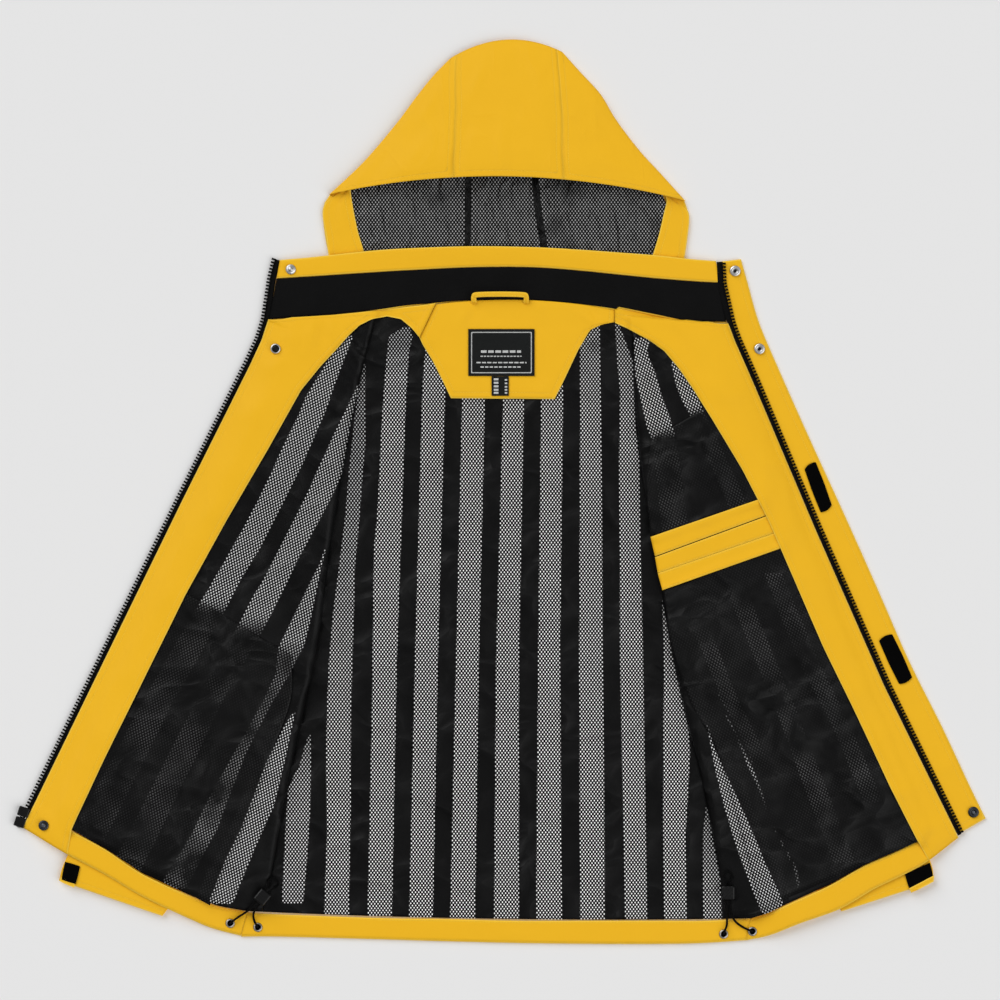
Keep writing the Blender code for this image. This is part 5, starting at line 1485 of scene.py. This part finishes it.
# %% zip teeth
TOOTH_PITCH = 3.7
TOOTH_REACH = 5.0
TOOTH_START = 3.2          # from the zip line; a tooth begins on the tape
TAPE_SHOWS = 4.8           # tape that shows; the teeth stand past its edge
TAPE_WIDENS = 2.2          # mm that a tape reaches further in beside the collar


def tooth_row(name, path, away, level):
    """Moulded teeth, one block at each pitch, all in one mesh."""
    run = np.concatenate(([0], np.cumsum(np.linalg.norm(np.diff(path, axis=0), axis=1))))
    places = np.arange(TOOTH_PITCH / 2, run[-1], TOOTH_PITCH)
    work = bmesh.new()
    for place in places:
        middle = np.array([np.interp(place, run, path[:, 0]), np.interp(place, run, path[:, 1])])
        out = np.array([np.interp(place, run, away[:, 0]), np.interp(place, run, away[:, 1])])
        forward = np.array([-out[1], out[0]])
        corners = []
        for z, grow in ((level - 0.7, 1.0), (level + 1.1, 0.78)):
            for a, b in ((0, -0.9), (TOOTH_REACH, -1.35), (TOOTH_REACH, 1.35), (0, 0.9)):
                spot = middle + out * (a * grow + TOOTH_REACH * (1 - grow) / 2) + forward * b * grow * 0.9
                corners.append(work.verts.new((spot[0] * MM, spot[1] * MM, z * MM)))
        for face in ((3, 2, 1, 0), (4, 5, 6, 7), (0, 1, 5, 4), (1, 2, 6, 5), (2, 3, 7, 6), (3, 0, 4, 7)):
            work.faces.new([corners[i] for i in face])
    bmesh.ops.recalc_face_normals(work, faces=work.faces)
    mesh = bpy.data.meshes.new(name)
    work.to_mesh(mesh)
    work.free()
    thing = bpy.data.objects.new(name, mesh)
    return finish_piece(thing, None, TOOTH_PLASTIC)


# %% flap, tapes and patches
def make_flap_and_zip():
    rows = snap_to_zip(resample(STORM_FLAP, 140), "right", "in")
    plan = ruled_plan(rows, "in", "out", np.linspace(0.015, 1, 9))
    points = ruffle(np.dstack([plan, np.full(plan.shape[:2], FLAP_WALL)]), 50.0, 0.3, 9.0)
    points[:, -1, 2] -= 0.4
    creases = [(772, 392, 786, 386, 7, 0.8), (842, 560, 862, 552, 8, 1.0), (900, 690, 918, 684, 8, 1.0),
               (936, 770, 958, 764, 8, 1.0), (742, 300, 748, 322, 6, 0.8)]
    lay("storm_flap", points, FLAP_CLOTH, "yellow_shell", [], edges="left right bottom top", wall=1.0,
        crease=creases)
    for name, corners in (("flap_patch_upper", PATCH_UPPER), ("flap_patch_lower", PATCH_LOWER)):
        spokes = np.array(corners) - np.mean(corners, axis=0)
        corners = np.array(corners) + spokes * PATCH_GROWS / np.linalg.norm(spokes, axis=1)[:, None]
        points = laid_on(rounded_plan(corners, 41, 21, 2.2), ["storm_flap"], LINING, reach=1.0)
        lay(name, points, HOOK_CLOTH, "black_trim", ["storm_flap"], edges="left right bottom top")
    for side, line, turn, level in (("left", ZIP_LINE_LEFT, 1.0, 0.6),
                                    ("right", ZIP_LINE_RIGHT, -1.0, FLAP_WALL + GAP)):
        heights = np.linspace(TAPE_START[side], line[-1].y, 160)
        path = np.stack([zip_x(side, heights), heights], axis=1)
        along = np.gradient(path, axis=0)
        along /= np.linalg.norm(along, axis=1)[:, None]
        away = np.stack([-along[:, 1], along[:, 0]], axis=1) * turn
        inner = 0.5 - TAPE_WIDENS * smoothstep((heights - 182) / 8)[:, None]
        plan = np.stack([path + away * (inner + (TAPE_SHOWS - inner) * f) for f in np.linspace(0, 1, 5)],
                        axis=1)
        points = np.dstack([plan, np.full(plan.shape[:2], level + TAPE_WALL)])
        teeth = tooth_row(f"zip_teeth_{side}", path + away * TOOTH_START, away, level + TAPE_WALL)
        lay(f"zip_tape_{side}", points, TAPE_CLOTH, "black_trim", ["storm_flap"] if side == "right" else [],
            edges="left right", with_pieces=[teeth])
    print("zip: two tapes with teeth, one flap with two patches")


make_flap_and_zip()


# %% [markdown]
# ## Label, size tab and hanger loop
# The label and the size tab are woven black with rows of plain grey dashes; the label has a grey
# frame too. The loop is a folded strip of shell cloth, sewn down at both ends.

# %% label and size tab: places and dashes
LABEL = (-34.8, 38.0, 127.4, 179.3)           # left, right, lower, upper
SIZE_TAB = (-9.2, 9.7, 105.6, 127.4)
LOOP = SimpleNamespace(half=28.6, foot_y=208.0, bar_y=216.6, half_wide=2.9, half_wall=1.2)

# rows of plain dashes: pixel x from, x to, y, dash length, gap, height
DASHES = {
    "label": [(481, 521, 351.8, 5.6, 1.6, 2.4), (480.5, 521.5, 356.5, 2.4, 0.9, 1.1),
              (476.5, 526.5, 362.8, 4.2, 1.2, 1.3), (480.5, 520.5, 367.2, 3.4, 1.2, 1.3)],
    "size_tab": [(493.8, 498.4, y, 4.6, 1.0, 2.0) for y in (379.5, 383, 386.5, 390, 393)]
                + [(504.8, 507.2, y, 2.4, 1.0, 1.6) for y in (380, 383.5, 387, 390, 393)],
}


def dashes(name, rows, level):
    """Short bars in rows, a thread's height above the label."""
    corners, faces = [], []
    for x0, x1, y, length, gap, height in rows:
        start = x0
        while start < x1 - 0.2:
            end = min(start + length, x1)
            for x, v in ((start, y + height / 2), (end, y + height / 2), (end, y - height / 2),
                         (start, y - height / 2)):
                corners.append((*(np.array(px(x, v)) * MM), level * MM))
            faces.append(tuple(range(len(corners) - 4, len(corners))))
            start = end + gap
    mesh = bpy.data.meshes.new(name)
    mesh.from_pydata(corners, [], faces)
    thing = bpy.data.objects.new(name, mesh)
    return finish_piece(thing, None, LABEL_THREAD)


# %% label, size tab and loop
LABEL_WALL = 0.8
LOOP_POINTS = 80


def make_label_and_loop():
    for name, (x0, x1, y0, y1), cloth in (("label", LABEL, LABEL_CLOTH),
                                          ("size_tab", SIZE_TAB, TAB_LABEL_CLOTH)):
        top = y1 - GAP
        plan = corner_plan([(x0, y0), (x1, y0), (x1, top), (x0, top)], 45, 57)
        points = laid_on(plan, ["neck_facing"], LABEL_WALL, reach=2.0)
        print_rows = dashes(name + "_dashes", DASHES[name], points[..., 2].max() + 0.05)
        lay(name, points, cloth, "black_band", ["neck_facing"], edges="left right bottom top", wall=0.5,
            with_pieces=[print_rows])
    base = height_under(0, LOOP.foot_y, ["neck_facing", "collar_band"], 6.0) + GAP + LOOP.half_wall
    path = [(-LOOP.half, LOOP.foot_y - 0.5, base - 1.6), (-LOOP.half, LOOP.foot_y + 1.5, base + 1.2),
            (-LOOP.half, LOOP.bar_y - 2, base + 3.2), (-LOOP.half + 4, LOOP.bar_y, base + 3.8),
            (0, LOOP.bar_y + 0.6, base + 4.2)]
    curve = smooth_line(path + [(-x, y, z) for x, y, z in path[-2::-1]], LOOP_POINTS)
    ahead = np.gradient(curve, axis=0)
    side = np.stack([-ahead[:, 1], ahead[:, 0], np.zeros(len(ahead))], axis=1)
    side /= np.linalg.norm(side, axis=1)[:, None]
    up = np.cross(ahead, side)
    up /= np.linalg.norm(up, axis=1)[:, None]
    up *= np.where(up[:, 2:] > 0, 1, -1)
    around = 20
    angles = 2 * np.pi * (np.arange(around) + 0.5) / around
    rings = (curve[:, None] + side[:, None] * (np.cos(angles) * LOOP.half_wide)[None, :, None]
             + up[:, None] * (np.sign(np.sin(angles)) * np.abs(np.sin(angles)) ** 0.6
                              * LOOP.half_wall)[None, :, None])
    mesh = bpy.data.meshes.new("hanger_loop_cloth")
    faces = grid_faces(len(curve), around, ring=True)
    faces += [tuple(range(around))[::-1], tuple(range((len(curve) - 1) * around, len(curve) * around))]
    mesh.from_pydata((rings.reshape(-1, 3) * MM).tolist(), [], faces)
    mesh.polygons.foreach_set("use_smooth", [True] * (len(faces) - 2) + [False, False])
    work = bmesh.new()
    work.from_mesh(mesh)
    bmesh.ops.recalc_face_normals(work, faces=work.faces)
    work.to_mesh(mesh)
    work.free()
    run = np.repeat(lengths(curve[:, None], 0), around, axis=1)
    over = np.repeat(np.abs(np.cos(angles))[None] * LOOP.half_wide, len(curve), axis=0)
    set_maps(mesh, {"edge": (LOOP.half_wide - over, run)})
    thing = bpy.data.objects.new("hanger_loop_cloth", mesh)
    finish_piece(thing, "hanger_loop", WELT_CLOTH)
    print("label, size tab and loop")


make_label_and_loop()


# %% [markdown]
# ## Hood
# Three panels make the outer hood: a centre and two sides, with a seam on each side of the crown.
# It lies over its own back and the net lining. The brim arches a little above the net, so the
# hollow stays open toward the collar.

# %% hood: the cut
# upper cloth, brim to crown: its sides, sag, the two seams as shares, arch height
HOOD_TOP = table(
    "left_x left_y right_x right_y bow seam_left seam_right height",
    (-189, 327, 205, 320, -22, 0.346, 0.662, 24),
    (-162, 352, 176, 352, -16.5, 0.322, 0.69, 23),
    (-141, 374, 154, 376, -13.2, 0.3, 0.72, 21),
    (-112, 409, 129, 409, -9.9, 0.247, 0.763, 17),
    (-95, 432, 112, 437, -8.8, 0.2, 0.8, 14),
    (-75, 457, 90, 461, -11, 0.13, 0.87, 10),
    (-56, 476, 70, 483, -17.6, 0.04, 0.96, 5),
)

# lower cloth up to the brim, and its net lining, collar to crown
HOOD_BACK = table(
    "left_x left_y right_x right_y bow",
    (-173, 235, 188, 232, 0),
    (-188, 261, 202, 256, 0),
    (-195, 303, 208, 299, 0),
    (-193, 318, 206, 311, 0),
)

HOOD_LINING = table(
    "left_x left_y right_x right_y bow",
    (-170, 251, 190, 249, 0),
    (-176, 277, 196, 277, 0),
    (-173, 316, 184, 315, 0),
    (-147, 354, 163, 354, -11),
    (-127, 376, 141, 378, -11),
    (-99, 409, 116, 409, -8.8),
    (-82, 431, 100, 435, -8.8),
)

# the shell turned in along the hood's sides
HOOD_EDGE_LEFT = table(
    "out_x out_y in_x in_y",
    (-187, 256, -148, 256),
    (-189, 263, -150, 266),
    (-191, 280, -156, 286),
    (-195, 304, -161, 310),
    (-192, 317, -164, 330),
    (-180, 327, -162, 337),
)

HOOD_EDGE_RIGHT = table(
    "out_x out_y in_x in_y",
    (201, 252, 166, 255),
    (203, 259, 169, 264),
    (206, 280, 175, 284),
    (208, 299, 180, 306),
    (205, 310, 183, 320),
    (191, 320, 181, 329),
)

HOOD_SEAMS = [
    stripe([(178, 465.5), (250, 464.5)], [(178, 471.5), (250, 470.5)], [(180, -1.0)]),
    stripe([(178, 531.5), (210, 534.5), (250, 541)], [(178, 538.5), (210, 541.5), (250, 548)],
           [(180, -1.0)]),
]
print("hood:", len(HOOD_TOP), "sections over the crown")

# %% hood: the arched section
HOOD_EDGE_RISE = 6.0
HOOD_FOLD_HEIGHT = 1.6
HOOD_FOLD_TURNS = 26.0
HOOD_JOIN = 2.2
HOOD_SIDE, HOOD_CENTRE = 22, 34      # points across a side panel's arch and across the centre's
ROLLED_EDGE = ((0, 0), (0.02, 0.18), (0.06, 0.36), (0.15, 0.56), (0.32, 0.76), (0.6, 0.92))


def hood_section(row):
    """The hood's top cloth across one section: foot, rolled edge, arch, rolled edge, foot."""
    width = math.hypot(row.right_x - row.left_x, row.right_y - row.left_y)
    edge = min(HOOD_EDGE_RISE, row.height * 0.45)
    f = np.concatenate((np.linspace(0, row.seam_left, HOOD_SIDE),
                        np.linspace(row.seam_left, row.seam_right, HOOD_CENTRE),
                        np.linspace(row.seam_right, 1, HOOD_SIDE)))
    s = SHELL + edge + f * (width - 2 * SHELL - 2 * edge)
    lift = np.maximum(0.0, np.sin(math.pi * f)) ** 0.7
    section = list(zip(s, edge + (row.height - SHELL - edge) * lift))
    rolled = [(SHELL + edge * a, edge * b) for a, b in ROLLED_EDGE]
    mirrored = [(width - a, z) for a, z in rolled[::-1]]
    return np.array(rolled + section + mirrored), width


# %% hood
HOOD_CREASES = [(452, 175, 470, 120, 6, -0.9), (566, 176, 552, 120, 6, -0.9), (500, 178, 504, 120, 7, 0.9),
                (470, 100, 486, 60, 6, 0.7), (545, 100, 532, 60, 6, 0.7), (400, 180, 425, 140, 8, 0.9),
                (372, 178, 392, 150, 6, -0.7), (620, 182, 598, 140, 8, 0.9), (652, 186, 630, 158, 6, -0.7),
                (420, 120, 440, 90, 6, 0.7), (606, 120, 586, 92, 6, 0.7)]
HOOD_NET_CREASES = [(468, 182, 468, 246, 2.2, 0.8), (534, 180, 544, 248, 2.2, 0.8),
                    (410, 190, 400, 240, 6, 0.7), (600, 190, 612, 244, 6, 0.7), (500, 190, 503, 240, 7, 0.6),
                    (440, 195, 436, 240, 5, 0.6), (572, 195, 580, 240, 5, 0.6), (640, 200, 634, 245, 5, 0.8),
                    (378, 200, 384, 245, 5, 0.8)]


def make_hood():
    rows = resample(HOOD_TOP, 70)
    grid = []
    for row in rows:
        section, width = hood_section(row)
        f = section[:, 0] / width
        x = row.left_x + (row.right_x - row.left_x) * f
        y = row.left_y + (row.right_y - row.left_y) * f - row.bow * 4 * f * (1 - f)
        grid.append(np.stack([x, y, section[:, 1] + SHELL], axis=1))
    whole = press(ruffle(np.array(grid), 50.0, 1.2, 41.0, 14.0), HOOD_CREASES, 1.4)
    back = resample(HOOD_BACK, 24)
    for row in rows:
        back.append(SimpleNamespace(**{**vars(row), "left_x": row.left_x + HOOD_JOIN,
                                       "right_x": row.right_x - HOOD_JOIN}))
    plan = ruled_plan(back, "left", "right", np.linspace(0, 1, 50))
    lay("hood_back", np.dstack([plan, np.full(plan.shape[:2], SHELL)]), SHELL_CLOTH, "yellow_shell", [])
    across = np.linspace(0, 1, 110)
    plan = ruled_plan(resample(HOOD_LINING, 90), "left", "right", across)
    up = np.linspace(0, 10, 90)[:, None]
    inside = smoothstep(across / 0.18) * smoothstep((1 - across) / 0.18) * smoothstep((up - 1.5) / 3)
    folds = HOOD_FOLD_HEIGHT * inside * (1 + np.sin(across * HOOD_FOLD_TURNS + 0.5))
    lining = ruffle(np.dstack([plan, LINING_TOP + folds]), 38.0, 0.9, 43.0, 18.0)
    lay("hood_lining", lining, HOOD_NET, "black_lining", ["hood_back"], edges="left right top bottom",
        stripes=HOOD_SEAMS, crease=HOOD_NET_CREASES)
    for side, table_rows in (("left", HOOD_EDGE_LEFT), ("right", HOOD_EDGE_RIGHT)):
        plan = ruled_plan(resample(table_rows, 40), "out", "in", np.linspace(0, 1, 16))
        points = laid_on(plan, ["hood_back", "hood_lining"], LINING, reach=2.0)
        lay(f"hood_edge_{side}", points, FACING_CLOTH, "yellow_shell", ["hood_lining"])
    seam = len(ROLLED_EDGE) + HOOD_SIDE
    other = seam + HOOD_CENTRE
    lay("hood_side_left", whole[:, :seam], HOOD_CLOTH, "yellow_shell", ["hood_back"], edges="right bottom")
    lay("hood_centre", whole[:, seam:other], HOOD_CLOTH, "yellow_shell", ["hood_back"],
        edges="left right bottom")
    lay("hood_side_right", whole[:, other:], HOOD_CLOTH, "yellow_shell", ["hood_back"], edges="left bottom")
    print("hood: three panels, back, net and two edges")


make_hood()

# %% [markdown]
# ## Snaps, eyelets and cords
# Snaps are two pressed cups; the studs sit on the viewer's left and the sockets on the flap. Each
# hem cord leaves one eyelet, runs through its lock, turns back in a small loop and goes in at the
# next eyelet.

# %% turned metal
def turned(name, node, profile, x, y, z, material, steps=40):
    """A round piece from a profile of radius and height."""
    angles = 2 * np.pi * np.arange(steps) / steps
    points = [[(x + r * math.cos(a), y + r * math.sin(a), z + h) for a in angles] for r, h in profile]
    points = np.array(points)
    faces = grid_faces(len(profile), steps, ring=True)
    mesh = bpy.data.meshes.new(name)
    mesh.from_pydata((points.reshape(-1, 3) * MM).tolist(), [], faces)
    work = bmesh.new()
    work.from_mesh(mesh)
    bmesh.ops.remove_doubles(work, verts=work.verts, dist=0.00001)
    bmesh.ops.holes_fill(work, edges=[edge for edge in work.edges if edge.is_boundary])
    bmesh.ops.recalc_face_normals(work, faces=work.faces)
    work.to_mesh(mesh)
    work.free()
    mesh.polygons.foreach_set("use_smooth", [True] * len(mesh.polygons))
    thing = bpy.data.objects.new(name, mesh)
    return finish_piece(thing, node, material)


# %% snaps and eyelets: places and profiles
SNAPS_LEFT = ((-229.9, 244.6, ["collar_top"]), (-246.4, 157.3, ["facing_left"]),
              (-501.0, -366.0, ["facing_left"]))
SNAPS_RIGHT = ((258.5, 243.0, ["storm_flap", "zip_tape_right"]), (285.3, 157.3, ["storm_flap"]),
               (520.5, -352.0, ["storm_flap"]))
EYELETS = ((-296.6, -474.1, "hem_left"), (-266.2, -478.5, "hem_back"),
           (245.9, -486.0, "hem_back"), (277.5, -483.0, "hem_right"))
SOCKET = ((0.01, 1.1), (1.7, 1.1), (2.3, 1.3), (2.5, 2.2), (3.0, 2.5), (4.6, 2.5), (5.4, 2.2), (6.0, 1.5),
          (6.0, 0.3), (5.4, 0.0), (0.01, 0.0))
STUD = ((0.01, 2.9), (1.3, 2.85), (1.9, 2.5), (2.0, 1.7), (2.5, 1.1), (3.4, 1.1), (4.0, 1.6), (4.8, 1.5),
        (5.6, 0.9), (5.6, 0.3), (5.0, 0.0), (0.01, 0.0))
PIT = ((0.01, 0.05), (1.2, 0.12), (2.2, 0.02))
DOT = ((0.01, 0.25), (1.4, 0.22), (2.3, 0.0))
WELL = ((0.01, 0.35), (2.7, 0.35))
PIT_WIDTHS = {"snap_left_2": 1.7, "snap_right_1": 1.0, "snap_right_2": 1.0}
PIT_LEVEL = {"left": 2.86, "right": 1.12}      # mm above the foot of a stud, and of a socket
DOT_LEVEL = {"left": 2.9, "right": 1.12}
EYELET = ((2.6, 0.3), (3.2, 1.0), (3.7, 1.4), (4.3, 1.4), (4.8, 1.0), (5.2, 0.3), (5.0, 0.0), (2.7, 0.0),
          (2.6, 0.3))


# %% snaps and eyelets
def make_snaps_and_eyelets():
    for side, spots, profile in (("left", SNAPS_LEFT, STUD), ("right", SNAPS_RIGHT, SOCKET)):
        for number, (x, y, carriers) in enumerate(spots, 1):
            z = height_under(x, y, carriers, 5.0) + 0.1
            metal, slot = (BRONZE, "dark_metal") if number == 3 else (SILVER, "silver_metal")
            node = f"snap_{side}_{number}"
            turned(node + "_metal", node, profile, x, y, z, metal)
            if node in PIT_WIDTHS:
                pit = [(r * PIT_WIDTHS[node], h) for r, h in PIT]
                turned(node + "_pit", None, pit, x, y, z + PIT_LEVEL[side], MOULDED, 24)
            if number == 3:
                turned(node + "_dot", None, DOT, x, y, z + DOT_LEVEL[side], DOT_METAL, 24)
    for number, (x, y, carrier) in enumerate(EYELETS, 1):
        z = height_under(x, y, [carrier], 4.0) + 0.1
        turned(f"eyelet_{number}_metal", f"eyelet_{number}", EYELET, x, y, z, RING_METAL, 36)
        turned(f"eyelet_{number}_well", None, WELL, x, y, z, MOULDED, 24)
    print("snaps: 6, eyelets: 4")


make_snaps_and_eyelets()


# %% hem cords
CORD_DIAMETER = 2.4
BRAID_POINTS = 115
# from eyelet to eyelet: the solids' route, with one more point between each two of its own
CORD_POINTS = {
    "left": [(-296.6, -474.1, 3.67), (-296.47, -474.01, 4.57), (-296.0, -473.6, 5.44),
             (-294.64, -472.33, 6.47), (-292.6, -470.6, 7.02), (-289.9, -468.7, 5.71),
             (-286.5, -466.4, 4.86), (-282.07, -463.54, 7.2), (-277.5, -460.2, 10.1),
             (-273.76, -456.34, 11.59), (-270.2, -452.1, 12.44), (-266.46, -447.52, 12.58),
             (-262.7, -442.8, 12.44), (-258.54, -437.94, 12.59), (-255.2, -433.5, 12.44),
             (-254.65, -430.18, 11.33), (-254.3, -427.6, 10.01), (-251.59, -425.2, 9.17),
             (-248.4, -424.2, 8.18), (-245.48, -426.34, 6.28), (-243.6, -429.5, 4.6),
             (-244.18, -432.02, 3.89), (-246.0, -434.2, 4.6), (-248.28, -435.16, 8.52),
             (-251.2, -436.7, 12.44), (-254.81, -440.93, 12.92), (-258.7, -446.0, 12.44),
             (-262.64, -450.77, 12.64), (-266.2, -455.3, 12.44), (-268.88, -459.07, 11.04),
             (-270.6, -462.6, 9.08), (-270.9, -466.47, 6.46), (-270.4, -470.0, 4.5),
             (-269.51, -472.55, 5.33), (-268.4, -474.6, 6.5), (-267.34, -476.56, 5.84),
             (-266.5, -478.0, 4.7), (-266.25, -478.43, 3.8), (-266.2, -478.5, 2.9)],
    "right": [(245.9, -486.0, 2.9), (245.94, -485.86, 3.8), (246.1, -485.3, 4.7), (246.53, -483.58, 5.84),
             (247.2, -481.2, 6.5), (248.39, -478.64, 5.39), (249.4, -475.2, 4.5),
             (249.42, -470.01, 5.86), (249.0, -464.0, 8.09), (248.33, -457.8, 10.8),
             (247.7, -451.5, 13.06), (247.62, -445.47, 13.37), (247.7, -439.5, 13.06),
             (247.86, -433.09, 13.23), (247.7, -427.5, 13.06), (246.13, -424.37, 11.71),
             (245.2, -422.0, 10.45), (247.27, -418.28, 10.68), (250.3, -416.0, 11.23),
             (253.32, -418.28, 11.11), (255.4, -422.0, 11.13), (254.47, -424.37, 12.09),
             (252.9, -427.5, 13.06), (252.74, -433.09, 13.18), (252.9, -439.5, 13.06),
             (252.83, -445.59, 13.32), (252.9, -451.5, 13.06), (253.23, -456.97, 11.0),
             (254.0, -462.0, 8.92), (255.37, -466.51, 8.89), (257.5, -470.5, 8.84),
             (260.81, -473.94, 6.52), (264.6, -476.8, 4.5), (268.44, -478.96, 5.44),
             (272.0, -480.6, 6.75), (274.82, -481.87, 6.29), (276.8, -482.7, 5.32),
             (277.41, -482.96, 4.47), (277.5, -483.0, 3.57)],
}


def make_cords():
    for side, route in CORD_POINTS.items():
        data = bpy.data.curves.new(f"cord_{side}_braid", "CURVE")
        data.dimensions = "3D"
        data.bevel_depth = CORD_DIAMETER / 2 * MM
        data.bevel_resolution = 5
        data.use_fill_caps = True
        curve = smooth_line(route, BRAID_POINTS)
        spline = data.splines.new("POLY")
        spline.points.add(len(curve) - 1)
        for target, point in zip(spline.points, curve):
            target.co = (*(point * MM), 1.0)
        cord = bpy.data.objects.new(f"cord_{side}_braid", data)
        finish_piece(cord, f"cord_{side}", CORD_BRAID)


make_cords()


# %% hard trim that keeps its solid
def finish_hard_trim():
    for node, material in (("zip_slider", MOULDED), ("zip_box", MOULDED), ("zip_pull", SILVER),
                           ("cord_lock_left", MOULDED), ("cord_lock_right", MOULDED)):
        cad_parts[node].material_slots[0].material = material
    print("slider, box, pull and locks keep their solids")


finish_hard_trim()


# %% [markdown]
# ## The floor
# A plain pale sheet under the coat, the same flat grey from edge to edge. It is clear from below,
# so that the back of the coat can be looked at. A studio sweep would shade off toward its edges,
# and the photo's ground doesn't.

# %% floor
FLOOR_HALF = 3.0           # metres from the middle to an edge
FLOOR_LEVEL = -0.0012      # metres
floor_mesh = bpy.data.meshes.new("floor")
corners = [(x * FLOOR_HALF, y * FLOOR_HALF, FLOOR_LEVEL) for x, y in ((-1, -1), (1, -1), (1, 1), (-1, 1))]
floor_mesh.from_pydata(corners, [], [(0, 1, 2, 3)])
floor = bpy.data.objects.new("floor", floor_mesh)
scene.collection.objects.link(floor)
paper, tree, shader = new_material("paper", 0.9, specular=0.0)
clear = add_node(tree, "ShaderNodeBsdfTransparent")
which = add_node(tree, "ShaderNodeMixShader")
side = add_node(tree, "ShaderNodeNewGeometry")
ray = add_node(tree, "ShaderNodeLightPath")
hidden = maths(tree, "MAXIMUM", side.outputs["Backfacing"], ray.outputs["Is Shadow Ray"])
tree.links.new(hidden, which.inputs[0])
tree.links.new(shader.outputs[0], which.inputs[1])
tree.links.new(clear.outputs[0], which.inputs[2])
tree.links.new(which.outputs[0], tree.nodes["Material Output"].inputs["Surface"])
grain = use_group(tree, GRAIN, Pitch=4.0, Tooth=0.2, Drift_size=400.0)
tree.links.new(blend_colour(tree, maths(tree, "MULTIPLY", grain["Drift"], 0.02), FLOOR, FLOOR_DARK),
               shader.inputs["Base Color"])
floor_mesh.materials.append(paper)
